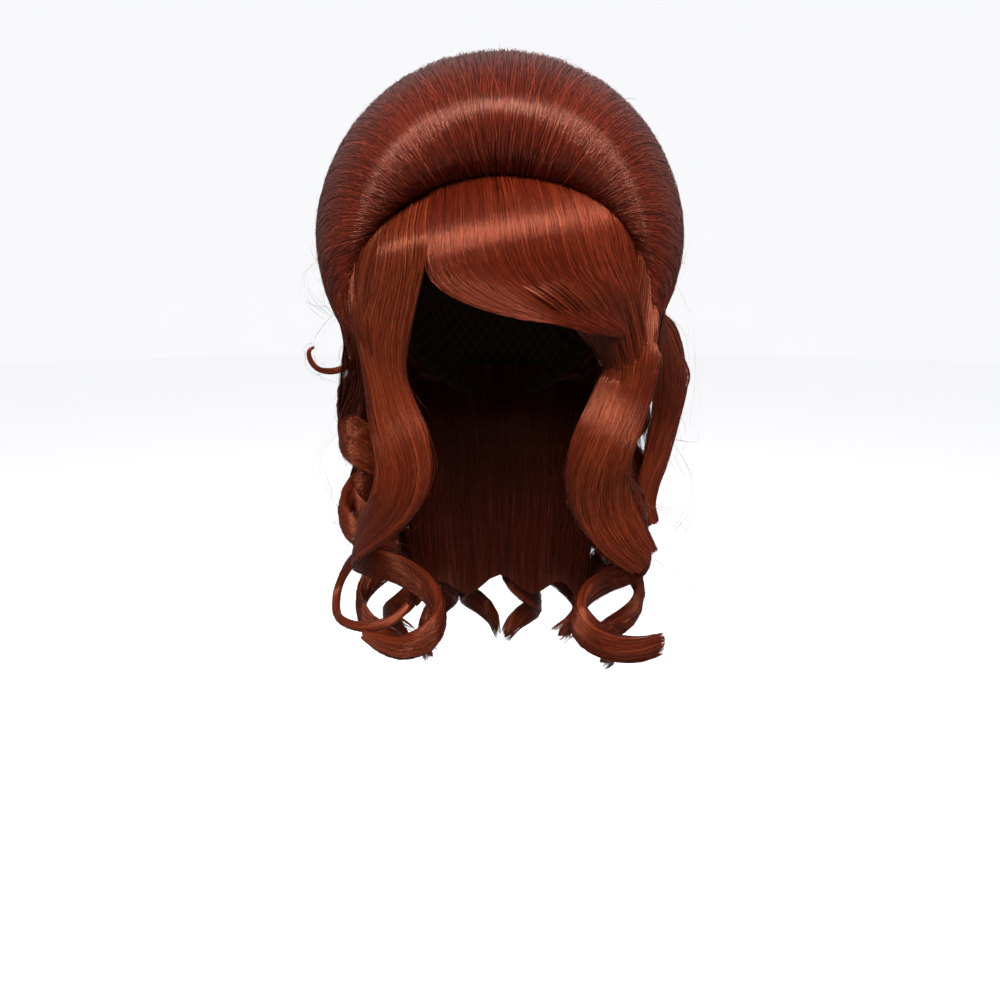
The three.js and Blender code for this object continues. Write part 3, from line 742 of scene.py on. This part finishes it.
def lock_axes(middle, facing):
    """The directions across and out of a lock: out is the facing squared to the path, across is square to
    both."""
    tangent = unit(np.gradient(middle, axis=0))
    out = unit(facing - tangent * np.sum(facing * tangent, axis=-1, keepdims=True))
    return np.cross(tangent, out), out


def at_reach(values, reach):
    """Values down a lock, one row a sample, read at shares of its length: an array of any shape of
    shares."""
    place = reach * (len(values) - 1)
    if values.ndim == 1:
        return np.interp(place, np.arange(len(values)), values)
    return np.stack([np.interp(place, np.arange(len(values)), column) for column in values.T], axis=-1)


def lock_core(middle, facing, width, thick, steps, sides):
    """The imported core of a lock: an oval carried along its line, closed at both ends."""
    side, out = lock_axes(middle, facing)
    share = np.linspace(0, 1, steps + 1)
    end = np.minimum(1, 2.2 * np.sqrt(np.abs(np.sin(np.pi * share))))[:, None]
    turn = np.linspace(0, 2 * np.pi, sides, endpoint=False)
    across = core_share * 0.5 * at_reach(width, share)[:, None] * end * np.cos(turn)
    deep = core_share * 0.5 * at_reach(thick, share)[:, None] * end * np.sin(turn)
    line, side, out = (at_reach(values, share)[:, None] for values in (middle, side, out))
    points = line + across[..., None] * side + deep[..., None] * out
    quads, flow = grid_faces(sides, steps, closed=True)
    return points.reshape(-1, 3), quads[:, ::-1], flow[:, ::-1]


def round_lock(form, reach, turn, fill):
    """Points round a lock's oval, at shares of its length, turns round it and shares of its size, with
    the direction out of the oval there."""
    middle, facing, width, thick = form
    side, out = lock_axes(middle, facing)
    side, out = at_reach(side, reach), at_reach(out, reach)
    half_width = 0.5 * at_reach(width, reach)
    half_thick = 0.5 * at_reach(thick, reach)
    across = (half_width * fill * np.cos(turn))[..., None]
    deep = (half_thick * fill * np.sin(turn))[..., None]
    leaning = (half_thick * np.cos(turn))[..., None] * side + (half_width * np.sin(turn))[..., None] * out
    return at_reach(middle, reach) + across * side + deep * out, unit(leaning)


def lock_hair(form, count, steps, seed, root_share):
    """Strands round a lock. Each keeps its place round the oval, drifts a little round it, and lies in or
    just over the core. They gather in bundles, which end at slightly different lengths and part a little
    towards the tips. At the root the lock is gathered to a share of its size."""
    draw = np.random.default_rng(seed)
    bundles = 13
    place = draw.uniform(0, 1, count)
    inside = (place * bundles) % 1
    bundle = np.floor(place * bundles).astype(int)
    gathered = np.sin(np.pi * inside) ** 0.5
    place = (bundle + 0.5 + (inside - 0.5) * 0.93) / bundles
    fuller = draw.normal(0, 0.035, bundles)[bundle][:, None]
    apart = draw.normal(0, 0.04, bundles)[bundle][:, None]
    longer = draw.normal(0, 0.008, bundles)[bundle][:, None]
    share = np.linspace(0, 1, steps)[None]
    broken = draw.random(count) < 0.15
    end = np.where(broken, draw.uniform(0.8, 1, count), draw.uniform(0.98, 1, count))[:, None]
    start = draw.uniform(0, 0.03, (count, 1))
    reach = np.clip(start + (np.minimum(end + longer, 1) - start) * share, 0, 1)
    drift = draw.normal(0, 0.14, (count, 1)) * np.sin(np.pi * reach * 2 + draw.uniform(0, 6, (count, 1)))
    turn = 2 * np.pi * place[:, None] + drift + 0.35 * np.sin(2 * np.pi * (1.1 * reach + seed * 0.13))
    wave = 1 + 0.025 * np.sin(2 * np.pi * (reach * draw.uniform(1, 4, (count, 1)) + draw.random((count, 1))))
    fill = 0.84 + 0.13 * gathered[:, None] - 0.08 * draw.random((count, 1)) + fuller + apart * reach**2
    fill = fill * wave * np.minimum(1, root_share + 8 * reach)
    paths, outward = round_lock(form, reach, turn, fill)
    tone = draw.normal(0, 0.07, bundles)[bundle]
    # Strands at a bundle's edges, which lie deeper, get a lower shade through gathered: painted shade in the
    # grooves between bundles. Tone and the last term vary at random.
    shade = 0.38 + 0.16 * gathered + tone + draw.normal(0, 0.11, count)
    return paths, outward, shade


def loose_hair(form, count, steps, seed):
    """Single hairs that have sprung out of a lock: each leaves it, arcs away and may come back."""
    draw = np.random.default_rng(seed)
    share = np.linspace(0, 1, steps)[None]
    start = draw.uniform(0, 0.75, (count, 1))
    reach = start + draw.uniform(0.1, 0.25, (count, 1)) * share
    turn = draw.uniform(0, 2 * np.pi, (count, 1)) + draw.normal(0, 0.5, (count, 1)) * share
    away = draw.uniform(0.05, 1.2, (count, 1)) ** 2
    away = away * np.sin(np.pi * share * draw.uniform(0.45, 1, (count, 1)))
    paths, outward = round_lock(form, reach, turn, 0.95)
    return paths + 7 * mm * away[..., None] * outward, outward, 0.5 + draw.normal(0, 0.15, count)


def joined(*meshes):
    """Several meshes of strands, each of points, faces, flow and normals, as one."""
    starts = np.cumsum([0] + [len(mesh[0]) for mesh in meshes[:-1]])
    return (
        np.concatenate([mesh[0] for mesh in meshes]),
        np.concatenate([mesh[1] + start for mesh, start in zip(meshes, starts)]),
        np.concatenate([mesh[2] for mesh in meshes]),
        np.concatenate([mesh[3] for mesh in meshes]),
    )


def make_lock(name, form, count, steps, seed, core_steps, core_sides, root_share=gathered_root):
    """One lock as two pieces that stand for its node: its core, and its strands with the loose hairs."""
    core = lock_core(*form, core_steps, core_sides)
    make_piece(f"{name}_core", *core, curl_core, "curl_hair", [name], weld=True)
    paths, outward, shade = lock_hair(form, count, steps, seed, root_share)
    widths = np.random.default_rng(seed + 100).uniform(*lock_strand_width, count)
    laid = ribbons(paths, outward, widths, shade, blunt=0.6)
    loose = 12 + count // 14
    paths, outward, shade = loose_hair(form, loose, 10, seed + 200)
    sprung = ribbons(paths, outward, np.full(loose, loose_hair_width), shade)
    make_strands(f"{name}_strands", *joined(laid, sprung), curl_fibre, "curl_hair", [name])


# The packed cores are darker than the strands round them: partly the fibre's own deep colour, partly painted
# shade inside the locks.
curl_core = packed_fibre("packed_copper_auburn_fibre", "1b0603", "3f1207", 0.8 * mm, 90 * mm)
curl_fibre = combed_fibre("combed_copper_auburn_fibre", "220703", "491609", "763118", "ff9874", 0.34)
lock_forms = {name: waved_lock(rows, *set_waves.get(name, ())) for name, rows in waved_locks.items()}
for number, (lock_name, lock_form) in enumerate(lock_forms.items()):
    root_width = spread_root if lock_name == "front_lock_left" else gathered_root
    make_lock(lock_name, lock_form, *lock_strands[lock_name], 20 + number, 80, 16, root_width)

# Ringlets
# Long bands of hair wound into open coils: one at the left side, and a row that hangs from the cap round
# the back.
back_fall = 400 * mm
ringlet_width = 37 * mm
ringlet_thickness = 9 * mm
ringlet_radius = 13 * mm
ringlet_side_standoff = 25 * mm
ringlet_back_standoff = -6 * mm

# The row round the back: how far down each tip hangs, as a share of back_fall, the angle to each side
# that the row covers, its coils' turns, how much further round each coil starts than the last, and how
# much it widens
back_tips = [0.9, 1, 0.93, 0.97, 0.95, 0.98, 0.94, 0.91]
back_spread = 74
back_turns = 2.8
back_start_step = 47
back_flare = 0.2


def round_cap(turn, z, inwards=0):
    """Points on the line round the cap that the ringlets hang along, drawn in by a distance."""
    side = head_width / 2 + ringlet_side_standoff - inwards
    back = head_depth / 2 + ringlet_back_standoff - inwards
    return np.stack([side * np.sin(turn), -back * np.cos(turn), z + 0 * turn], axis=-1)


def ringlet(turn, root, tip, turns, start, hand, flare, samples=240):
    """A ringlet's middle line, facing, width and thickness: a helix round an upright axis, which opens
    from its root and widens by flare towards its tip. The band faces away from the axis."""
    share = np.linspace(0, 1, samples)
    axis = round_cap(np.full(samples, math.radians(turn)), -back_fall * (root + (tip - root) * share))
    angle = math.radians(start) + hand * 2 * np.pi * turns * share
    opening = 0.35 + 0.65 * np.sin(np.pi / 2 * np.minimum(1, 4 * share))
    radius = ringlet_radius * opening * (1 + flare * share**2)
    facing = np.stack([np.cos(angle), np.sin(angle), 0 * angle], axis=-1)
    width = ringlet_width * (0.55 + 0.45 * np.sin(np.pi * np.minimum(1, 0.25 + share)))
    return axis + radius[:, None] * facing, facing, width, np.full(samples, ringlet_thickness)


ringlet_forms = {
    "side_ringlet_left": ringlet(turn=-95, root=0.27, tip=0.74, turns=2.7, start=200, hand=1, flare=0.7),
}
make_lock("side_ringlet_left", ringlet_forms["side_ringlet_left"], 800, 34, 40, 90, 14)
for number, tip_share in enumerate(back_tips):
    cap_turn = 180 - back_spread + 2 * back_spread * number / (len(back_tips) - 1)
    root_share = 0.3 - 0.1 * math.cos(math.radians(cap_turn))
    coil_start = 90 + back_start_step * number
    coil_hand = 1 if number % 2 else -1
    back_form = ringlet(cap_turn, root_share, tip_share, back_turns, coil_start, coil_hand, back_flare)
    ringlet_forms[f"back_ringlet_{number + 1}"] = back_form
    make_lock(f"back_ringlet_{number + 1}", back_form, 300, 28, 50 + number, 72, 12)

# Drawn-over hair
# Thin layers of hair that hide the seams. They are combed from the crown, the crease and the fringe over
# the roots of the locks, and run on down the locks.


def bend(places, steps):
    """Strands that pass through places, each an array with one point a strand, in smooth curves."""
    rows = np.stack(places).reshape(len(places), -1)
    return along(rows, np.linspace(0, 1, steps)).reshape(steps, -1, 3).transpose(1, 0, 2)


def out_of_wig(points):
    """The direction out of the wig at points below the crown: level, and away from the upright axis."""
    return unit(points * np.array([1, 1, 0]))


def on_crown(across, back, lift):
    """One point a strand over or under the crown's surface, and the direction out of it."""
    normal = crown_normal(across, back)
    return crown_point(across, back) + lift[:, None] * normal, normal


def lay_over(name, stations, draw, steps, node, tone=0.46):
    """A layer of drawn-over strands as one piece. Each station holds one point a strand, and the way out
    of the hair there. The strands stop at different shares of the way, so that the layer has no edge.
    Tone is their mean shade."""
    paths = bend([point for point, _ in stations], 4 * steps)
    outward = bend([out for _, out in stations], 4 * steps)
    count = len(paths)
    reach = np.linspace(0, 1, steps) * draw.uniform(0.72, 1, (count, 1))
    pick = np.round(reach * (4 * steps - 1)).astype(int)
    strand = np.arange(count)[:, None]
    widths = draw.uniform(*lock_strand_width, count)
    shade = tone + draw.normal(0, 0.12, count)
    layer = ribbons(paths[strand, pick], outward[strand, pick], widths, shade, blunt=0.1)
    make_strands(name, *layer, curl_fibre, "curl_hair", [node])


def down_lock(form, reaches, turn, fill, later=0):
    """Stations down a lock, at shares of its length, that sink into it little by little. Each strand may
    come to all of them later by a share of its own."""
    sinking = np.linspace(-0.06, 0.16, len(reaches))
    return [round_lock(form, r + later + 0 * turn, turn, fill - sink) for r, sink in zip(reaches, sinking)]


def over_ringlet(name, form, across, back, count, seed, node):
    """Hair from the rim of the crown over a ringlet's root, on to where its band first faces outwards."""
    draw = np.random.default_rng(seed)
    middle, facing = form[:2]
    reach = np.linspace(0.14, 0.45, 60)
    outwards = np.sum(at_reach(facing, reach) * out_of_wig(at_reach(middle, reach)), axis=-1)
    first = reach[np.argmax(outwards)]
    fill = draw.uniform(0.92, 1.03, count)
    along_rim = 0.14 * draw.uniform(-1, 1, count)
    at_side = np.abs(across) >= 0.98
    turn = np.pi * (0.5 + 2.5 * along_rim * np.where(at_side, 1, -1)) + draw.normal(0, 0.15, count)
    across = np.clip(across + along_rim * (not at_side), -1, 1)
    back = np.clip(back + along_rim * at_side, 0, 1)
    higher = 1 - draw.uniform(0.04, 0.2, count)
    start_across = across * np.where(at_side, higher, 1)
    start_back = back * np.where(at_side, 1, higher)
    start = on_crown(start_across, start_back, np.full(count, -2 * mm))
    rim = on_crown(across, back, draw.uniform(0.2, 0.8, count) * mm)
    landing, *onward = down_lock(form, first + np.array([0, 0.05, 0.1, 0.15]), turn, fill)
    between = 0.5 * (rim[0] + landing[0])
    between = between + 3 * mm * out_of_wig(between), out_of_wig(between)
    lay_over(name, [start, rim, between, landing, *onward], draw, 16, node)


rim_place = np.linspace(-1.55, 1.55, 400)
rim_across = np.clip(rim_place, -1, 1)
rim_back = 1 - np.maximum(0, np.abs(rim_place) - 1)
rim_line = crown_point(rim_across, rim_back)
for number, (node, form) in enumerate(ringlet_forms.items()):
    nearest = np.argmin(np.linalg.norm((rim_line - form[0][0])[:, :2], axis=-1))
    over_ringlet(f"{node}_cover", form, rim_across[nearest], rim_back[nearest], 130, 300 + number, node)


def from_crease(side, low, high, count, draw):
    """Stations that start under the crown's front edge, between two places along it on one side, and come
    out below it. Also gives each strand's share of the way from the low to the high place."""
    share = draw.uniform(0, 1, count)
    across = side * (low + (high - low) * share)
    start, normal = on_crown(across, draw.uniform(0, 0.03, count), np.full(count, -2.5 * mm))
    drop = np.array([0.12 * side, -0.1, -1]) * draw.uniform(9, 15, (count, 1)) * mm
    out = unit(out_of_wig(start) + np.array([0, -1, 0]))
    below = start + drop + out * draw.uniform(1, 3, (count, 1)) * mm
    return [(start, out), (below, out)], share


def from_fringe(root, depth, stations):
    """Stations on the fringe at places down it, each sunk below the strands' own depth by a distance."""
    points = [fringe_point(root, np.full(len(root), down), depth + sunk) for down, sunk in stations]
    return [(point, unit(point - hollow_middle)) for point in points]


def from_foot(side, low, high, foot, back, draw):
    """Stations that start inside the crown on one side, between two places across it, and come out at its
    foot."""
    start = on_crown(side * draw.uniform(low, high, len(back)), back, np.full(len(back), -1.5 * mm))
    return [start, on_crown(np.full(len(back), side * foot), back, draw.uniform(0.1, 1, len(back)) * mm)]


def over_front_left():
    """Hair beside the parting that runs from the crease into the left front lock, and hair from under the
    crown's left edge into that lock and the side ringlet."""
    draw = np.random.default_rng(330)
    lock, ringlet_form = lock_forms["front_lock_left"], ringlet_forms["side_ringlet_left"]
    count = 460
    low, high = -0.26, 0.0
    root = draw.uniform(low, high, count)
    depth = draw.uniform(-0.2, 2.2, count) * mm
    crease = from_fringe(root, depth, [(0, 3 * mm), (0.13, 0), (0.26, 1 * mm)])
    turn = np.interp(root, [low, high], [1.0, 3.0]) + draw.normal(0, 0.1, count)
    onward = down_lock(lock, (0.16, 0.22, 0.28, 0.34, 0.4), turn, draw.uniform(0.98, 1.08, count))
    # Its strands get a lighter mean shade, 0.6 against 0.46: painted highlight on the top of the left front
    # lock.
    lay_over("parting_cover", [*crease, *onward], draw, 18, "front_lock_left", 0.6)
    count = 300
    edge, share = from_crease(-1, 0.5, 0.84, count, draw)
    turn = np.pi * (0.45 - 0.4 * share)
    onward = down_lock(lock, (0.14, 0.2, 0.26, 0.32), turn, draw.uniform(0.98, 1.08, count))
    lay_over("front_lock_left_veil", [*edge, *onward], draw, 16, "front_lock_left")
    count = 420
    share = draw.uniform(0, 1, count)
    edge = from_foot(-1, 0.76, 0.9, 0.97, 0.02 + 0.36 * share, draw)
    deeper = draw.uniform(-1, 1, count)
    lower = np.stack([-90 - 23 * share, -32 + 14 * share + 5 * deeper, -140 - 4 * share], axis=-1) * mm
    turn = np.pi * (0.95 - 0.65 * share)
    fill = draw.uniform(0.98, 1.08, count)
    onward = down_lock(ringlet_form, (0.36, 0.41, 0.46), turn, fill, 0.04 * (1 - share))
    veil = [*edge, (lower, out_of_wig(lower)), *onward]
    lay_over("side_ringlet_left_veil", veil, draw, 20, "side_ringlet_left")


def over_front_right():
    """Hair from the end of the fringe into the right front lock, and from under the crown's right edge
    into that lock and the side wave."""
    draw = np.random.default_rng(331)
    lock, wave = lock_forms["front_lock_right"], lock_forms["side_wave_right"]
    count = 360
    low, high = 0.3, 1
    root = draw.uniform(low, high, count)
    depth = draw.uniform(-0.4, 1, count) * mm
    fringe_end = from_fringe(root, depth, [(0.45, 1.5 * mm), (0.68, 0)])
    turn = np.pi * (0.02 + 0.86 * (root - low) / (high - low)) + draw.normal(0, 0.1, count)
    onward = down_lock(lock, (0.27, 0.35, 0.43, 0.51), turn, draw.uniform(1.0, 1.1, count))
    lay_over("front_lock_right_cover", [*fringe_end, *onward], draw, 18, "front_lock_right")
    count = 420
    edge, share = from_crease(1, 0.62, 0.98, count, draw)
    turn = np.pi * (0.4 + 0.58 * share)
    onward = down_lock(lock, (0.23, 0.3, 0.37, 0.44), turn, draw.uniform(1.0, 1.1, count))
    lay_over("front_lock_right_veil", [*edge, *onward], draw, 16, "front_lock_right")
    count = 340
    share = draw.uniform(0, 1, count)
    edge = from_foot(1, 0.7, 0.84, 0.92, 0.22 + 0.26 * share, draw)
    turn = np.pi * (0.05 + 0.85 * share)
    onward = down_lock(wave, (0.26, 0.34, 0.42, 0.5), turn, draw.uniform(1.0, 1.1, count))
    lay_over("side_wave_right_veil", [*edge, *onward], draw, 16, "side_wave_right")


over_front_left()
over_front_right()

# Flyaway hairs
# Single hairs that stand off the sides in wide arcs, in small loose groups. Each row is one arc: the
# points that it passes through, as x, y and z in millimetres, and how many hairs follow it.
flyaway_width = 0.2 * mm
flyaway_arcs = {
    "left": [
        ([(-118, -30, -62), (-129, -32, -72), (-128, -30, -88), (-118, -28, -100)], 7),
        ([(-112, -30, -96), (-124, -34, -112), (-126, -34, -128), (-116, -30, -140)], 5),
        ([(-112, 0, -176), (-131, -6, -196), (-133, -8, -214), (-118, -6, -232)], 9),
        ([(-112, 0, -205), (-128, -4, -226), (-124, -6, -250), (-108, -8, -262)], 6),
        ([(-100, -20, -262), (-124, -22, -276), (-133, -24, -292), (-128, -24, -312)], 6),
    ],
    "right": [
        ([(112, -24, -66), (129, -22, -100), (139, -20, -142), (134, -16, -178)], 5),
        ([(122, -10, -186), (131, -10, -188), (138, -12, -184), (142, -12, -178)], 2),
        ([(118, -8, -180), (136, -10, -206), (143, -10, -236), (128, -8, -262)], 8),
        ([(104, -20, -232), (134, -18, -246), (146, -16, -276), (134, -14, -306)], 7),
        ([(96, -22, -262), (120, -20, -280), (136, -18, -300), (132, -16, -322)], 7),
        ([(110, -26, -92), (124, -24, -118), (128, -20, -136), (120, -16, -156)], 5),
    ],
}


def flyaways(arcs, steps):
    """Hairs that follow arcs, each moved by chance at every place that it passes through, by about 1 mm
    at the first place and 5 mm at the last."""
    draw = np.random.default_rng(400)
    strands = []
    for places, hairs in arcs:
        spread = np.linspace(1, 5, len(places))[:, None, None]
        moved = np.array(places)[:, None] + draw.normal(0, 1, (len(places), hairs, 3)) * spread
        strands.append(bend([point * mm for point in moved], steps))
    paths = np.concatenate(strands)
    return paths, out_of_wig(paths), 0.45 + draw.normal(0, 0.12, len(paths))


for fly_side, fly_node in (("left", "front_lock_left"), ("right", "front_lock_right")):
    fly_paths, fly_out, fly_shade = flyaways(flyaway_arcs[fly_side], 18)
    hairs = ribbons(fly_paths, fly_out, np.full(len(fly_paths), flyaway_width), fly_shade)
    make_strands(f"flyaway_hairs_{fly_side}", *hairs, curl_fibre, "curl_hair", [fly_node])

# Back underlayer
# A curtain of loosely waved hair inside the row of ringlets, which closes the back below the crown.
underlayer_thickness = 6 * mm
underlayer_fall = 325 * mm
underlayer_root = 0.35 * back_fall
underlayer_spread = 62


def underlayer_point(across, down, depth):
    """Points of the underlayer: across runs round the back, down from under the crown to a hem that waves
    up and down. It starts on the line of the ringlets, draws in behind them and sways a little out and
    in. Depth is how far the points lie inside it."""
    turn = np.pi + math.radians(underlayer_spread) * (2 * across - 1)
    hem = 8 * mm * down * np.cos(6 * np.pi * across)
    z = -(underlayer_root + (underlayer_fall - underlayer_root) * down) - hem
    ease = np.clip(down / 0.4, 0, 1)
    tuck = ease**2 * (3 - 2 * ease) * (ringlet_radius + ringlet_thickness / 2)
    sway = 3 * mm * np.sin(2.5 * np.pi * down)
    return round_cap(turn, z, tuck + sway + depth)


def underlayer_base(across_steps, down_steps):
    """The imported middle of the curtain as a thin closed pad."""
    turn = np.linspace(0, 2 * np.pi, across_steps, endpoint=False)
    across, down = np.meshgrid(0.5 - 0.495 * np.cos(turn), np.linspace(0, 1, down_steps + 1))
    depth = underlayer_thickness * (0.5 - 0.3 * np.sin(np.broadcast_to(turn, across.shape)))
    quads, flow = grid_faces(across_steps, down_steps, closed=True)
    return underlayer_point(across, down, depth).reshape(-1, 3), quads[:, ::-1], flow[:, ::-1]


def underlayer_strands(count, steps):
    """Strands of the curtain, on both of its faces, in a very dark shade that paints the shade inside the row
    of ringlets.
    """
    root = chance.uniform(0, 1, count)
    share = np.linspace(0, 1, steps)[None]
    across = root[:, None] + 0.01 * np.sin(2 * np.pi * (1.5 * share + chance.random((count, 1))))
    inner = chance.random((count, 1)) < 0.5
    depth = np.where(inner, 0.85, 0.12) * underlayer_thickness + chance.uniform(-0.5, 0.5, (count, 1)) * mm
    end = chance.uniform(0.93, 1, (count, 1))
    paths = underlayer_point(np.clip(across, 0, 1), share * end, depth)
    away = out_of_wig(paths)
    outward = np.where(inner[..., None], -away, away)
    # A mean shade of 0.12: painted shade of the hollow behind the ringlets.
    return paths, outward, 0.12 + chance.normal(0, 0.1, count)


make_piece("back_underlayer_base", *underlayer_base(60, 24), curl_core, "curl_hair", ["back_underlayer"])
curtain_paths, curtain_out, curtain_shade = underlayer_strands(1200, 13)
curtain_widths = chance.uniform(*lock_strand_width, len(curtain_paths))
curtain = ribbons(curtain_paths, curtain_out, curtain_widths, curtain_shade)
make_strands("back_underlayer_strands", *curtain, curl_fibre, "curl_hair", ["back_underlayer"])

# Studio
# A white floor well below the wig, under a white dome, with three large soft lights in front and a weak
# one behind.
floor_drop = 0.9
backdrop_radius = 12.0
round_steps = 96
paper_glow = 0.6
room_light = 0.37
wig_middle = (0, 0, -0.12)
camera_place = (0, -584 * mm, -88 * mm)
camera_pitch = math.radians(14.1)
camera_lens = 28.8
camera_sensor = 36


def white_paper(name):
    """White seamless paper, matt and faintly uneven, lit up from behind so that it stays white."""
    material, tree = new_material(name)
    place = add_node(tree, "ShaderNodeTexCoord", {}).outputs["Object"]
    uneven = add_node(tree, "ShaderNodeTexNoise", {"Vector": place, "Scale": 2.0})
    tone = add_node(tree, "ShaderNodeMix", {"Factor": uneven.outputs["Fac"]}, data_type="RGBA")
    tone.inputs[6].default_value = linear("f4f4f6")
    tone.inputs[7].default_value = linear("f8f8f9")
    shader = add_node(
        tree,
        "ShaderNodeBsdfPrincipled",
        {
            "Base Color": tone.outputs[2],
            "Roughness": 0.9,
            "Emission Color": linear("fdfdff"),
            "Emission Strength": paper_glow,
        },
    )
    finish_material(tree, shader)
    return material


def staged(name, points, faces, material):
    """A piece of the studio, which the camera sees and which throws no light of its own on the hair."""
    mesh = bpy.data.meshes.new(name)
    mesh.from_pydata(points, [], faces)
    mesh.shade_smooth()
    mesh.materials.append(material)
    piece = bpy.data.objects.new(name, mesh)
    bpy.context.scene.collection.objects.link(piece)
    piece.visible_diffuse = False
    piece.visible_glossy = False
    piece.visible_shadow = False


def round_ring(turn, radius, z):
    """Points of a level ring round the upright axis."""
    return np.stack([radius * np.cos(turn), radius * np.sin(turn), z + 0 * turn], axis=-1)


turns_round = np.linspace(0, 2 * np.pi, round_steps, endpoint=False)
floor_edge = round_ring(turns_round, backdrop_radius, -floor_drop)
staged("floor", floor_edge.tolist(), [tuple(range(round_steps))], white_paper("white_floor_paper"))
dome_turn, dome_rise = np.meshgrid(turns_round, np.linspace(-0.3, 0.4999 * np.pi, 24))
dome = backdrop_radius * round_ring(dome_turn, np.cos(dome_rise), np.sin(dome_rise))
dome_faces, _ = grid_faces(round_steps, 23, closed=True)
dome_mesh = dome.reshape(-1, 3).tolist(), dome_faces[:, ::-1].tolist()
staged("backdrop", *dome_mesh, white_paper("white_backdrop_paper"))

world = bpy.data.worlds.new("white_room")
world.use_nodes = True
world.node_tree.nodes["Background"].inputs["Color"].default_value = linear("f9f9fb")
world.node_tree.nodes["Background"].inputs["Strength"].default_value = room_light
bpy.context.scene.world = world


def softbox(name, place, size, power):
    """A square area light at a place, turned to the middle of the wig."""
    light = bpy.data.lights.new(name, "AREA")
    light.shape = "SQUARE"
    light.size = size
    light.energy = power
    lamp = bpy.data.objects.new(name, light)
    lamp.location = place
    direction = np.array(wig_middle) - np.array(place)
    pitch = math.atan2(math.hypot(direction[0], direction[1]), -direction[2])
    yaw = math.atan2(-direction[0], direction[1])
    lamp.rotation_euler = (pitch, 0, yaw)
    bpy.context.scene.collection.objects.link(lamp)


softbox("front_left_softbox", (-0.65, -1.15, 1.0), 0.6, 40)
softbox("front_middle_softbox", (0.15, -1.3, 1.0), 0.5, 20)
softbox("front_right_softbox", (0.75, -1.1, 1.0), 0.6, 32)
softbox("rear_softbox", (0.3, 1.4, -0.15), 1.0, 9)

bpy.context.scene.view_settings.view_transform = "Standard"
camera = bpy.data.cameras.new("camera")
camera.lens = camera_lens
camera.sensor_width = camera_sensor
camera_object = bpy.data.objects.new("camera", camera)
camera_object.location = camera_place
camera_object.rotation_euler = (math.pi / 2 - camera_pitch, 0, 0)
bpy.context.scene.collection.objects.link(camera_object)
bpy.context.scene.camera = camera_object
